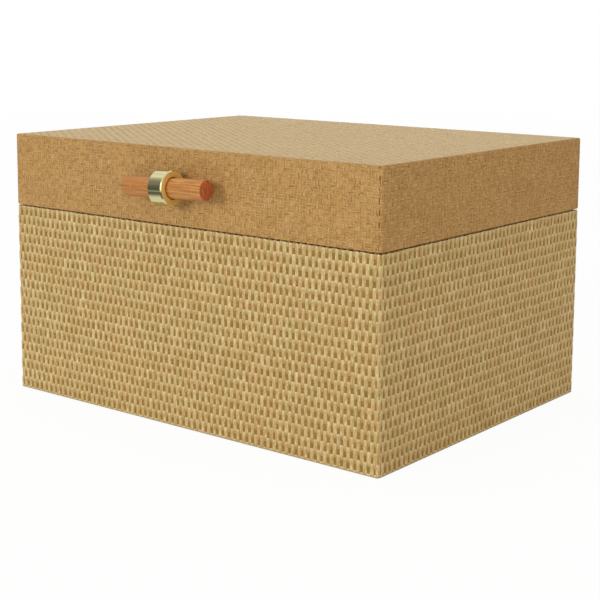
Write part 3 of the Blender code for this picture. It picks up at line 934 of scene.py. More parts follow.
@dataclass(frozen=True)
class Folding:
    """How a covering is folded: round four walls, over the open rim and round the closed end.

    A covering is drawn flat on the front wall's plane. The way along it runs from the closed end, across
    the wall, over the rim and down the inside. Points past the wall's ends go round the corner.
    """

    width: float = 0.305
    depth: float = 0.234
    base: float = 0.0
    sense: float = 1.0
    height: float = 0.128
    rim: float = 0.0072
    corner: float = 0.002
    rim_round: float = 0.0003
    end_round: float = 0.0005
    least_round: float = 0.00005
    hinge_drop: float = 0.0003
    hinge_round: float = 0.0005

    def reach(self, wall: Wall) -> float:
        """Give half the length of a wall."""
        return (self.width if wall.is_long else self.depth) / 2

    def half(self, wall: Wall) -> float:
        """Give the distance of a wall's outer face from the middle of the box."""
        return (self.depth if wall.is_long else self.width) / 2

    def eased(self) -> Folding:
        """Give the folding of the hinged wall, with a lower and rounder rim so that the lid swings clear."""
        return replace(self, height=self.height - self.hinge_drop, rim_round=self.hinge_round)

    def section(self, way: np.ndarray, sink: np.ndarray) -> tuple[np.ndarray, np.ndarray]:
        """Fold the way along the cloth in the wall's cross-section.

        Args:
            way: How far each point lies from the closed end, along the cloth.
            sink: How deep each point lies below the cloth's outer face.

        Returns:
            How far each point lies inwards from the outer face, and its height above the closed end.
        """
        inwards = np.where(way < 0, -way, np.clip(way - self.height, 0, self.rim))
        past = way > self.height + self.rim
        level = np.where(past, 2 * self.height + self.rim - way, np.clip(way, 0, self.height))
        by_rim = way > self.height / 2
        bend = np.maximum(np.where(by_rim, self.rim_round, self.end_round), sink + self.least_round)
        inner = np.where(by_rim, self.rim - bend, np.inf)
        centre_in = np.clip(inwards, bend, np.maximum(inner, bend))
        lowest = np.where(by_rim, -np.inf, bend)
        highest = np.where(by_rim, self.height - bend, np.inf)
        centre_up = np.clip(level, lowest, highest)
        off_in = inwards - centre_in
        off_up = level - centre_up
        length = np.maximum(np.hypot(off_in, off_up), NOTHING)
        share = (bend - sink) / length
        return centre_in + off_in * share, centre_up + off_up * share

    def fold(self, piece: bpy.types.Object, wall: Wall) -> None:
        """Fold a piece drawn flat on the front wall's plane, then turn it to its own wall.

        Args:
            piece: The flat piece.
            wall: The wall that it covers.
        """
        half = self.half(wall)
        reach = self.reach(wall)
        flat = read_points(piece)
        own = self.eased() if wall is Wall.BACK else self
        inwards, level = own.section(self.sense * (flat[:, 2] - self.base), flat[:, 1] + half)
        out = np.abs(flat[:, 0])
        limit = np.maximum(inwards, 0)
        here = out <= reach
        x = np.where(here, np.minimum(out, reach - limit), reach - inwards)
        y = np.where(here, half - inwards, half - np.maximum(out - reach, limit))
        inner_x = np.minimum(x, reach - self.corner)
        inner_y = np.minimum(y, half - self.corner)
        off_x = x - inner_x
        off_y = y - inner_y
        length = np.hypot(off_x, off_y)
        share = np.where(length > NOTHING, np.maximum(off_x, off_y) / np.maximum(length, NOTHING), 0)
        write_points(piece, np.column_stack((np.sign(flat[:, 0]) * (inner_x + off_x * share),
                                             -(inner_y + off_y * share), self.base + self.sense * level)))
        turn_to_wall(piece, wall)


@dataclass
class Copies:
    """One modelled strand, repeated in one mesh, each copy with its own small differences."""

    places: list[Spot]
    turned: bool = False
    seed: int = 1
    shift: Pair = (0.0, 0.0)
    swell: float = 0.0
    sink: float = 0.0
    tone: Pair = (0.0, 1.0)

    def build(self, name: str, strand: bpy.types.Object) -> bpy.types.Object:
        """Copy the strand to each place.

        Args:
            name: The new piece's name.
            strand: The modelled strand, drawn about the origin in the X-Z plane, facing -Y.

        Returns:
            The new piece, with the strand's lay as its UV map and three chance values on each copy.
        """
        form = strand.data
        points = read_points(strand)
        count = len(points)
        if self.turned:
            points = np.column_stack((points[:, 2], points[:, 1], -points[:, 0]))
        lay = np.empty(len(form.loops) * 2)
        form.uv_layers[0].data.foreach_get("uv", lay)
        corners = np.empty(len(form.loops), dtype=np.int64)
        form.loops.foreach_get("vertex_index", corners)
        sizes = np.empty(len(form.polygons), dtype=np.int64)
        form.polygons.foreach_get("loop_total", sizes)

        number = len(self.places)
        chance = np.random.default_rng(self.seed)
        luck = chance.random((number, 3))
        luck[:, 0] = self.tone[0] + (self.tone[1] - self.tone[0]) * luck[:, 0]
        wobble = chance.uniform(-1, 1, (number, 4))
        stretch = np.ones((number, 1, 3))
        stretch[:, 0, 0] = 1 + self.swell * wobble[:, 0]
        moved = points[None, :, :] * stretch + np.array(self.places)[:, None, :]
        moved[:, :, 0] += self.shift[0] * wobble[:, 1:2]
        moved[:, :, 2] += self.shift[1] * wobble[:, 2:3]
        moved[:, :, 1] += self.sink * np.abs(wobble[:, 3:4])

        mesh = bpy.data.meshes.new(name)
        mesh.vertices.add(number * count)
        mesh.vertices.foreach_set("co", moved.ravel())
        mesh.loops.add(number * len(corners))
        offsets = np.arange(number)[:, None] * count
        mesh.loops.foreach_set("vertex_index", (corners[None, :] + offsets).ravel())
        mesh.polygons.add(number * len(sizes))
        starts = np.concatenate(([0], np.cumsum(np.tile(sizes, number))[:-1]))
        mesh.polygons.foreach_set("loop_start", starts)
        mesh.update(calc_edges=True)
        mesh.uv_layers.new(name="lay").data.foreach_set("uv", np.tile(lay, number))
        shades = np.ones((number, count, 4))
        shades[:, :, :3] = luck[:, None, :]
        mesh.attributes.new("chance", "FLOAT_COLOR", "POINT").data.foreach_set("color", shades.ravel())
        piece = bpy.data.objects.new(name, mesh)
        bpy.context.collection.objects.link(piece)
        return piece


def merge_pieces(name: str, pieces: list[bpy.types.Object]) -> bpy.types.Object:
    """Join several objects into one.

    Args:
        name: The joined piece's name.
        pieces: The objects.

    Returns:
        The joined object.
    """
    bpy.ops.object.select_all(action="DESELECT")
    for piece in pieces:
        piece.select_set(True)
    bpy.context.view_layer.objects.active = pieces[0]
    if len(pieces) > 1:
        bpy.ops.object.join()
    return name_it(name)


def lay_out(piece: bpy.types.Object, across: float, along: float) -> None:
    """Write a strand's UV map from its place: 0 to 1 across it, and 0 at its top to 1 at its foot.

    Args:
        piece: The strand, drawn in the X-Z plane about the origin.
        across: The strand's width.
        along: The strand's length.
    """
    layer = piece.data.uv_layers.active or piece.data.uv_layers.new(name="lay")
    layer.name = "lay"
    for loop in piece.data.loops:
        place = piece.data.vertices[loop.vertex_index].co
        layer.data[loop.index].uv = (0.5 + place.x / across, 0.5 - place.z / along)


@dataclass
class StrawWeave:
    """The straw covering of the body: upright straws, each over three rows of threads' width."""

    fold: Folding
    straw: Straw
    thread: Thread
    rows_above: int = 3
    rows: int = 23
    first_row: float = 0.1233
    row_pitch: float = 0.00631
    long_columns: int = 64
    short_columns: int = 49
    rim_margin: float = 0.001
    straw_width: float = 0.00272
    corner_width: float = 0.0042
    straw_length: float = 0.0090
    straw_depth: float = 0.0008
    straw_skirt: float = 0.0004
    straw_shoulder: float = 1.24
    # Between which shares of the straw's width from its middle the shoulders' points lie.
    shoulder_place: Pair = (0.2, 0.28)
    straw_columns: int = 4
    # Each row of a straw's points: how far down it lies, its share of the width, and how far it sinks.
    straw_rows: tuple[Spot, ...] = ((0.0, 0.70, 0.00014), (0.00035, 0.90, 0.00003), (0.0010, 1.0, 0.0),
                                    (0.0025, 1.0, 0.0), (0.0045, 1.0, 0.00002), (0.0065, 1.0, 0.00006),
                                    (0.0079, 0.97, 0.00016), (0.0090, 0.90, 0.00036))
    # How far a straw's surface sinks beyond each share of its width, which arches it.
    straw_arch: tuple[Pair, ...] = ((0.12, 0.00006), (0.32, 0.00026))
    thread_pitch: float = 0.00085
    thread_share: float = 0.97
    thread_round: float = 0.4
    thread_crest: float = 0.00042
    thread_valley: float = 0.00068
    edge_gap: float = 0.00005
    edge_height: float = 0.0008
    edge_depth: float = 0.0004
    edge_round: float = 0.0002
    under: float = 0.0175
    inside: float = 0.0105
    hinge_rooms: tuple[Pair, ...] = ((-0.1107, -0.0793), (0.0793, 0.1107))
    hinge_floor: float = 0.1267
    past_rim: float = 0.0015
    # The straws' chance values, where they start and how far they may shift, swell and sink a straw.
    straw_seed: int = 11
    straw_shift: Pair = (0.00018, 0.00032)
    straw_swell: float = 0.12
    straw_sink: float = 0.00012
    corner_seed: int = 61
    corner_shift: Pair = (0.0, 0.00018)
    # The edges that stay sharp are sharper than this, in degrees.
    straw_angle: float = 75
    thread_angle: float = 50

    def model_straw(self, straw_width: float) -> bpy.types.Object:
        """Model one straw: an arched strip, round at the top and tucked down at the foot.

        Args:
            straw_width: How wide the straw is.

        Returns:
            The straw, drawn about the origin, facing -Y with its crown at 0.
        """
        bpy.ops.object.select_all(action="DESELECT")
        steps = len(self.straw_rows) - 1
        bpy.ops.mesh.primitive_grid_add(x_subdivisions=self.straw_columns, y_subdivisions=steps, size=1,
                                        rotation=(math.pi / 2, 0, 0))
        piece = name_it("straw_model")
        piece.scale = (straw_width, self.straw_length, 1)
        bpy.ops.object.transform_apply(location=True, rotation=True, scale=True)
        top = self.straw_length / 2
        step = self.straw_length / steps
        aside = 0.001
        open_edit(piece)
        # A row that is done stands aside, so that the next row's choice passes it by.
        for index, (down, width, drop) in enumerate(self.straw_rows):
            level = top - step * index
            pick(piece, "VERT", lambda v, z=level: abs(v.co.z - z) < step / 4 and v.co.y < aside / 50)
            bpy.ops.transform.resize(value=(width, 1, 1), center_override=(0, 0, 0))
            bpy.ops.transform.translate(value=(0, drop + aside, top - down - level))
        pick(piece, "VERT", lambda v: True)
        bpy.ops.transform.translate(value=(0, -aside, 0))
        inner, outer = self.shoulder_place
        pick(piece, "VERT", lambda v: inner < abs(v.co.x) / straw_width < outer)
        bpy.ops.transform.resize(value=(self.straw_shoulder, 1, 1), center_override=(0, 0, 0))
        for share, drop in self.straw_arch:
            pick(piece, "VERT", lambda v, s=share: abs(v.co.x) > straw_width * s)
            bpy.ops.transform.translate(value=(0, drop, 0))
        pick(piece, "EDGE", lambda e: e.is_boundary)
        bpy.ops.mesh.extrude_edges_move(TRANSFORM_OT_translate={"value": (0, self.straw_skirt, 0)})
        pick(piece, "VERT", lambda v: any(edge.is_boundary for edge in v.link_edges))
        bpy.ops.transform.resize(value=(1, 0, 1), center_override=(0, self.straw_depth, 0))
        pick(piece, "EDGE", lambda e: e.is_boundary)
        bpy.ops.mesh.edge_face_add()
        face_outwards()
        close_edit()
        lay_out(piece, straw_width, self.straw_length)
        return piece

    def straw_places(self, wall: Wall) -> list[Spot]:
        """Say where each straw of a wall lies, before folding.

        Args:
            wall: The wall.

        Returns:
            The straws' middles, on the front wall's plane.
        """
        columns = self.long_columns if wall.is_long else self.short_columns
        reach = self.fold.reach(wall)
        pitch = 2 * reach / columns
        places = []
        for row in range(-self.rows_above, self.rows):
            level = self.first_row - row * self.row_pitch
            inset = max(-level, min(level - self.fold.height, self.fold.rim), 0)
            for column in range(row % 2, columns):
                along = -reach + (column + (0.5 if row % 2 == 0 else 0.0)) * pitch
                past_end = inset > self.rim_margin and abs(along) > reach - inset + self.rim_margin
                by_hinge = level > self.hinge_floor and self.in_hinge_room(along, pitch / 2)
                if not past_end and not (wall is Wall.BACK and by_hinge):
                    places.append((along, -self.fold.half(wall), level))
        return places

    def in_hinge_room(self, along: float, margin: float = 0.0) -> bool:
        """Say whether a place along the back wall lies in the room of a hinge, or within a margin of it."""
        return any(low - margin < -along < high + margin for low, high in self.hinge_rooms)

    def spare_hinges(self, piece: bpy.types.Object) -> None:
        """Draw the back wall's straws down to the floor of each hinge's room.

        Args:
            piece: The back wall's straws, before folding.
        """
        points = read_points(piece)
        inside = np.zeros(len(points), dtype=bool)
        for low, high in self.hinge_rooms:
            inside |= (-points[:, 0] > low) & (-points[:, 0] < high)
        points[:, 2] = np.where(inside, np.minimum(points[:, 2], self.hinge_floor), points[:, 2])
        write_points(piece, points)

    def model_threads(self, wall: Wall) -> bpy.types.Object:
        """Model the cross threads of one wall: one rounded thread, cut near the corners, then repeated.

        Args:
            wall: The wall.

        Returns:
            The flat stack of threads.
        """
        reach = self.fold.reach(wall)
        crest = self.thread_crest - self.fold.half(wall)
        valley = self.thread_valley - self.fold.half(wall)
        top = self.thread_pitch * self.thread_share - self.under
        thread = start_block("thread_" + wall.label, Vector((-reach, crest, -self.under)),
                             Vector((reach, valley, top)))

        def outer_edge(edge: bmesh.types.BMEdge) -> bool:
            """Say whether an edge runs along the outer side of the thread."""
            start, end = (vert.co for vert in edge.verts)
            return abs(start.x - end.x) > reach and middle(edge).y < crest + 10 * SAME

        open_edit(thread)
        round_edges(thread, outer_edge, self.thread_pitch * self.thread_round, 2, clamp=True)
        close_edit()
        rooms = [-side for room in self.hinge_rooms for side in room] if wall is Wall.BACK else []
        cut_by_corners(thread, reach, tuple(rooms))
        total = self.under + self.fold.height + self.fold.rim + self.inside
        stack = thread.modifiers.new("stack", "ARRAY")
        stack.count = int(total / self.thread_pitch)
        stack.use_relative_offset = False
        stack.use_constant_offset = True
        stack.constant_offset_displace = (0, 0, self.thread_pitch)
        only(thread)
        bpy.ops.object.modifier_apply(modifier=stack.name)
        if wall is Wall.BACK:
            self.clear_room(thread)
        return thread

    def clear_room(self, thread: bpy.types.Object) -> None:
        """Delete the threads' faces that would lie in the room of a hinge.

        Args:
            thread: The back wall's threads, before folding.
        """
        end = self.fold.height + self.fold.rim + self.past_rim
        delete_faces(thread, lambda f: self.hinge_floor < f.calc_center_median().z < end
                     and self.in_hinge_room(f.calc_center_median().x))

    def build(self) -> None:
        """Build the whole covering, wall by wall."""
        models = [self.model_straw(width) for width in (self.straw_width, self.corner_width)]
        straw_material = self.straw.material()
        thread_material = self.thread.material()
        edge_material = Cloth("foot_edge_cloth", (188, 176, 138), (160, 146, 106)).material()
        for wall in Wall:
            name = "straw_weave_" + wall.label
            copies = Copies(self.straw_places(wall), seed=self.straw_seed + wall.value,
                            shift=self.straw_shift, swell=self.straw_swell, sink=self.straw_sink)
            piece = merge_pieces(name, [copies.build(name, models[0]), self.corner_straws(wall, models[1])])
            if wall is Wall.BACK:
                self.spare_hinges(piece)
            self.fold.fold(piece, wall)
            hand_over(piece, self.straw_angle, straw_material, Carrier.BODY, "straw_weave", "body_covering")
            threads = merge_pieces("cross_threads_" + wall.label, [self.model_threads(wall)])
            edge = merge_pieces("foot_edge_" + wall.label, [self.foot_edge(wall)])
            for sheet, material in ((threads, thread_material), (edge, edge_material)):
                self.fold.fold(sheet, wall)
                hand_over(sheet, self.thread_angle, material, Carrier.BODY, "straw_weave", "body_covering")
        for model in models:
            bpy.data.objects.remove(model)

    def corner_straws(self, wall: Wall, straw: bpy.types.Object) -> bpy.types.Object:
        """Copy the broader straws that bend round the corner at a wall's left end.

        Args:
            wall: The wall.
            straw: The broader straw.

        Returns:
            The flat piece.
        """
        levels = [self.first_row - row * self.row_pitch for row in range(1, self.rows, 2)]
        places = [(-self.fold.reach(wall), -self.fold.half(wall), level) for level in levels if level > 0]
        copies = Copies(places, seed=self.corner_seed + wall.value, shift=self.corner_shift)
        return copies.build("corner_straws", straw)

    def foot_edge(self, wall: Wall) -> bpy.types.Object:
        """Model the thin pale edge of the glued sheet that shows along the foot of a wall.

        Args:
            wall: The wall.

        Returns:
            The flat strip.
        """
        reach = self.fold.reach(wall)
        half = self.fold.half(wall)
        strip = start_block("foot_edge_model", Vector((-reach, -half, self.edge_gap)),
                            Vector((reach, self.edge_depth - half, self.edge_height)))
        outer = Vector((0, -half, self.edge_height))
        open_edit(strip)
        round_edges(strip, lambda e: (middle(e) - outer).length < SAME, self.edge_round, 2)
        close_edit()
        cut_by_corners(strip, reach)
        return strip


@dataclass
class PaperWeave:
    """The paper covering of the lid: one plain-woven sheet over the top, folded down the four walls."""

    fold: Folding
    paper: Paper
    top_paper: Paper
    long_cells: int = 73
    short_cells: int = 72
    strip_share: float = 0.965
    # The shares of a strip's length, and of half its width, at which it is cut: finely to go round an edge.
    plain_cuts: tuple[float, ...] = (-0.30, 0.0, 0.30)
    fine_cuts: tuple[float, ...] = tuple(step * 0.1 for step in range(-4, 5))
    cross_cuts: tuple[float, ...] = (-0.5, 0.0, 0.5)
    # By shares of a cell's length: how far a strip tucks under, how near counts as at a place, and how far
    # the strip sinks on its way to its dip.
    tuck: float = 0.08
    near: float = 0.04
    falls: tuple[Pair, ...] = ((0.30, 0.00003), (0.40, 0.00005))
    dip: float = 0.00011
    base: float = 0.00026
    top_dip: float = 0.00008
    top_base: float = 0.00016
    backing: float = 0.0006
    backing_crest: float = 0.00019
    backing_inset: float = 0.004
    backing_round: float = 0.0001
    backing_over: float = 0.006
    # How far above and below the top edge, and above and below each edge of the rim, the backing is cut.
    edge_cuts: tuple[float, ...] = (0.0013, 0.0006, 0.0, -0.0006, -0.0013)
    rim_cuts: tuple[float, ...] = (0.0007, 0.0, -0.0007)
    inside: float = 0.011
    # How far from the middle the room of each hinge starts and ends, for the strips and for their backing.
    hinge_room: Pair = (0.0787, 0.1113)
    backing_room: Pair = (0.0797, 0.1103)
    room_margin: float = 0.001
    # The strips' chance values: where they start, wall by wall and part by part, how far they may shift,
    # swell and sink a strip, and between which tones the darker and the lighter of the two ways lie.
    wall_seed: int = 100
    wall_seed_step: int = 10
    part_seed_step: int = 50
    top_seed: int = 900
    strip_shift: Pair = (0.00006, 0.00006)
    strip_swell: float = 0.03
    strip_sink: float = 0.00004
    dark_tones: Pair = (0.0, 0.6)
    light_tones: Pair = (0.4, 1.0)
    # The edges that stay sharp are sharper than this, in degrees.
    strip_angle: float = 35

    def model_strip(self, length: float, width: float, fine: bool) -> bpy.types.Object:
        """Model the stretch of one strip that lies over its neighbour.

        Args:
            length: The cell's length along the strip.
            width: The cell's width across it.
            fine: Whether it is cut more closely, to go round an edge.

        Returns:
            The stretch, drawn upright about the origin, facing -Y with its crown at 0.
        """
        tuck = self.tuck * length
        half = width * self.strip_share / 2
        piece = start_block("strip_model", Vector((-half, 0, -length / 2 - tuck)),
                            Vector((half, self.base, length / 2 + tuck)))
        shares = self.fine_cuts if fine else self.plain_cuts
        cut_across(piece, [Vector((0, 0, length * share)) for share in shares], Vector((0, 0, 1)))
        if fine:
            cut_across(piece, [Vector((half * share, 0, 0)) for share in self.cross_cuts], Vector((1, 0, 0)))
        open_edit(piece)
        for share, drop in (*self.falls, (0.5 + self.tuck, self.dip)):
            level = length * share
            pick(piece, "VERT", lambda v, z=level: v.co.y < self.base / 2
                 and abs(abs(v.co.z) - z) < length * self.near)
            bpy.ops.transform.translate(value=(0, drop, 0))
        close_edit()
        delete_faces(piece, lambda f: f.normal.y > FACING or abs(f.normal.z) > FACING)
        lay_out(piece, width, length)
        return piece

    def lay_cells(self, name: str, cells: list[Cell], level: float,
                  sizes: Pair, fine: bool, seed: int) -> list[bpy.types.Object]:
        """Copy upright and level strips over cells, in turn.

        Args:
            name: The start of the pieces' names.
            cells: Each cell's place across and up, and its number: even ones have an upright strip.
            level: The place of the crown along Y.
            sizes: A cell's width and height.
            fine: Whether the strips are cut closely.
            seed: Where the chance values start.

        Returns:
            The piece of upright strips and the piece of level ones.
        """
        width, height = sizes
        made = []
        for turned in (False, True):
            places = [(x, level, z) for x, z, number in cells if number % 2 == int(turned)]
            if not places:
                continue
            strip = self.model_strip(width if turned else height, height if turned else width, fine)
            darker = turned == (width > height)
            copies = Copies(places, turned=turned, seed=seed + turned, swell=self.strip_swell,
                            sink=self.strip_sink, shift=self.strip_shift,
                            tone=self.dark_tones if darker else self.light_tones)
            made.append(copies.build(f"{name}_{int(turned)}", strip))
            bpy.data.objects.remove(strip)
        return made

    def wall_cells(self, wall: Wall, width: float, height: float) -> dict[str, list[Cell]]:
        """Say where the cells of a wall lie, before folding, each with its number.

        Args:
            wall: The wall.
            width: A cell's width.
            height: A cell's height.

        Returns:
            The cells of the plain cloth and of its bends, of the corner at the wall's left end, of the top
            edge, and of the point where those two meet, each group under its name.
        """
        reach = self.fold.reach(wall)
        base = self.fold.base
        over = self.fold.height + self.fold.rim
        offset = 1 if wall in (Wall.BACK, Wall.LEFT) else 0
        columns = range(1, self.long_cells if wall.is_long else self.short_cells)
        plain = []
        bent = []
        for row in range(1, int((over + self.inside) / height) + 1):
            way = row * height
            by_bend = min(abs(way - self.fold.height), abs(way - over)) < 0.7 * height
            inset = min(max(way - self.fold.height, 0), self.fold.rim)
            hinged = wall is Wall.BACK and self.fold.height - height / 2 < way < over + height / 2
            for column in columns:
                x = -reach + column * width
                by_hinge = hinged and self.hinge_room[0] < abs(x) < self.hinge_room[1]
                if abs(x) <= reach - inset + width / 4 and not by_hinge:
                    (bent if by_bend else plain).append((x, base - way, column + row + offset))
        corner = [(-reach, base - row * height, row + offset)
                  for row in range(1, int(self.fold.height / height) + 1)]
        edge = [(-reach + column * width, base, column + offset) for column in columns]
        point = [(-reach, base, offset)]
        return {"plain": plain, "bent": bent, "corner": corner, "edge": edge, "point": point}

    def wall(self, wall: Wall) -> bpy.types.Object:
        """Cover one wall of the lid, the corner at its left end, its top edge, its rim and turned-in edge.

        Args:
            wall: The wall.

        Returns:
            The wall's covering.
        """
        width = 2 * self.fold.reach(wall) / (self.long_cells if wall.is_long else self.short_cells)
        height = self.fold.depth / self.short_cells if wall.is_long else self.fold.width / self.long_cells
        parts = []
        for name, cells in self.wall_cells(wall, width, height).items():
            seed = self.wall_seed + self.wall_seed_step * wall.value + self.part_seed_step * len(parts)
            parts += self.lay_cells(name, cells, -self.fold.half(wall), (width, height), name != "plain",
                                    seed)
        piece = merge_pieces("paper_weave_" + wall.label, parts)
        self.fold.fold(piece, wall)
        return piece

    def backing_sheet(self, wall: Wall) -> bpy.types.Object:
        """Model the paper's backing behind one wall, its rim and its turned-in edge.

        Args:
            wall: The wall.

        Returns:
            The folded sheet.
        """
        reach = self.fold.reach(wall)
        half = self.fold.half(wall)
        edge = self.fold.base
        outer = edge - self.fold.height
        inner = outer - self.fold.rim
        sheet = start_block("backing_" + wall.label, Vector((-reach, self.base - half, inner - self.inside)),
                            Vector((reach, self.backing - half, edge + self.backing_over)))
        levels = [edge + cut for cut in self.edge_cuts]
        levels += [place + cut for place in (outer, inner) for cut in self.rim_cuts]
        cut_across(sheet, [Vector((0, 0, level)) for level in levels], Vector((0, 0, 1)))
        start, end = self.backing_room
        cut_by_corners(sheet, reach, (-start, -end, start, end) if wall is Wall.BACK else ())
        if wall is Wall.BACK:
            low, high = inner - self.room_margin, outer + self.room_margin
            delete_faces(sheet, lambda f: start < abs(f.calc_center_median().x) < end
                         and low < f.calc_center_median().z < high)
        self.fold.fold(sheet, wall)
        return merge_pieces("paper_backing_" + wall.label, [sheet])

    def top(self) -> bpy.types.Object:
        """Cover the top, inside the ring of strips that go over its edges.

        Returns:
            The top's covering.
        """
        width = self.fold.width / self.long_cells
        height = self.fold.depth / self.short_cells
        cells = [(column * width - self.fold.width / 2, row * height - self.fold.depth / 2, column + row)
                 for column in range(1, self.long_cells) for row in range(1, self.short_cells)]
        flat = replace(self, dip=self.top_dip, base=self.top_base)
        parts = flat.lay_cells("top", cells, 0.0, (width, height), False, self.top_seed)
        piece = merge_pieces("paper_weave_top", parts)
        self.lay_flat(piece)
        return piece

    def lay_flat(self, piece: bpy.types.Object) -> None:
        """Turn a piece drawn upright to lie on the top of the lid, with its crown at the lid's height.

        Args:
            piece: The piece.
        """
        turn_mesh(piece, math.pi / 2, "X", (0, 0, 0))
        open_edit(piece)
        bpy.ops.mesh.select_all(action="SELECT")
        bpy.ops.transform.translate(value=(0, 0, self.fold.base))
        close_edit()

    def top_backing(self) -> bpy.types.Object:
        """Model the paper's backing under the top.

        Returns:
            The sheet.
        """
        x = self.fold.width / 2 - self.backing_inset
        y = self.fold.depth / 2 - self.backing_inset
        crest = self.fold.base - self.backing_crest
        sheet = start_block("paper_backing_top", Vector((-x, -y, self.fold.base - self.backing)),
                            Vector((x, y, crest)))
        open_edit(sheet)
        round_edges(sheet, lambda e: abs(middle(e).z - crest) < SAME, self.backing_round, 1)
        close_edit()
        return sheet

    def build(self) -> None:
        """Build the whole covering."""
        material = self.paper.material()
        top_material = self.top_paper.material()
        backing = Cloth("paper_backing", (120, 86, 46), (84, 58, 28), thread=0.0009).material()
        for wall in Wall:
            hand_over(self.wall(wall), self.strip_angle, material, Carrier.LID, "tan_weave", "lid_covering")
            self.hand_over_backing(self.backing_sheet(wall), backing)
        hand_over(self.top(), self.strip_angle, top_material, Carrier.LID, "tan_weave", "lid_covering")
        self.hand_over_backing(self.top_backing(), backing)

    def hand_over_backing(self, sheet: bpy.types.Object, material: bpy.types.Material) -> None:
        """Dress and enlist a backing sheet, which stays flat-shaded."""
        dress(sheet, material)
        enlist(sheet, Carrier.LID, "tan_weave", "lid_covering")


@dataclass
class Pull:
    """The pull on the lid's front: a turned brass ring and the dowel it holds."""

    centre: Vector
    ring_radius: float = 0.011
    ring_length: float = 0.0115
    ring_sides: int = 96
    outer_chamfer: float = 0.0006
    bore_chamfer: float = 0.00025
    dowel_radius: float = 0.00635
    dowel_length: float = 0.0664
    dowel_edge: float = 0.0005
    dowel_sides: int = 72
    clearance: float = 0.0004
    flat_depth: float = 0.0004
    tilt: float = 2.2
    rim_slack: float = 0.00002
    least_half: float = 0.001
    # The edges that stay sharp are sharper than this, in degrees.
    ring_angle: float = 25
    dowel_angle: float = 30

    def ring(self) -> bpy.types.Object:
        """Model the ring: a bar bored through, chamfered inside and out, with a flat where it meets the lid.

        Returns:
            The ring.
        """
        bore = self.dowel_radius + self.clearance
        piece = start_bar("pull_ring_turned", self.ring_radius, self.ring_length, self.centre,
                          self.ring_sides)
        open_edit(piece)
        pick(piece, "FACE", lambda f: abs(f.normal.x) > FACING)
        bpy.ops.mesh.inset(thickness=self.ring_radius - bore, use_individual=True)
        pick(piece, "FACE", lambda f: abs(f.normal.x) > FACING and len(f.verts) == self.ring_sides)
        bpy.ops.mesh.bridge_edge_loops()
        self.bevel_rim(piece, self.ring_radius, self.outer_chamfer, 1)
        self.bevel_rim(piece, bore, self.bore_chamfer, 2)
        bpy.ops.mesh.select_all(action="SELECT")
        back = self.centre + Vector((0, self.ring_radius - self.flat_depth, 0))
        bpy.ops.mesh.bisect(plane_co=back, plane_no=(0, 1, 0), use_fill=True, clear_outer=True)
        face_outwards()
        close_edit()
        return piece

    def bevel_rim(self, piece: bpy.types.Object, radius: float, size: float, segments: int) -> None:
        """Round both rims of a turned piece at one radius.

        Args:
            piece: The turned piece, in edit mode.
            radius: The rims' radius.
            size: How far back the rounding starts.
            segments: How many facets it has.
        """
        def on_rim(edge: bmesh.types.BMEdge) -> bool:
            """Say whether an edge lies on one of the two rims.

            Args:
                edge: The edge.

            Returns:
                Whether it does.
            """
            ends = [vert.co - self.centre for vert in edge.verts]
            across = abs(ends[0].x - ends[1].x) < SAME and abs(ends[0].x) > self.least_half
            return across and all(abs(math.hypot(end.y, end.z) - radius) < self.rim_slack for end in ends)

        round_edges(piece, on_rim, size, segments)

    def dowel(self) -> bpy.types.Object:
        """Model the dowel: a round bar with eased ends.

        Returns:
            The dowel.
        """
        piece = start_bar("pull_dowel_turned", self.dowel_radius, self.dowel_length, self.centre,
                          self.dowel_sides)
        open_edit(piece)
        self.bevel_rim(piece, self.dowel_radius, self.dowel_edge, 2)
        face_outwards()
        close_edit()
        return piece

    def dress_turned(self, piece: bpy.types.Object, degrees: float, side: bpy.types.Material,
                     end: bpy.types.Material, square: float) -> None:
        """Smooth and dress a turned piece, its ends apart, and turn it about the pull's one screw.

        Args:
            piece: The turned piece.
            degrees: The edges sharper than this angle stay sharp.
            side: The finish all over.
            end: The finish of the faces square to the axis.
            square: How square such a face is, up to 1.
        """
        smooth_by_angle(piece, degrees)
        dress(piece, side)
        piece.data.materials.append(end)
        for face in piece.data.polygons:
            if abs(face.normal.x) > square:
                face.material_index = 1
        turn_mesh(piece, math.radians(self.tilt), "Y", self.centre)

    def build(self) -> None:
        """Build the ring and the dowel."""
        ring = self.ring()
        bright = Brass("pale_turned_brass", (208, 204, 156), roughness=0.10).material()
        satin = Brass("satin_brass_end", (232, 196, 118), roughness=0.5, metal=0.45).material()
        self.dress_turned(ring, self.ring_angle, bright, satin, SQUARE)
        enlist(ring, Carrier.LID, "pull_metal", "pull_ring")
        dowel = self.dowel()
        wood = DowelWood()
        self.dress_turned(dowel, self.dowel_angle, wood.side(), wood.sawn(), FACING)
        enlist(dowel, Carrier.LID, "pull_wood", "pull_dowel")


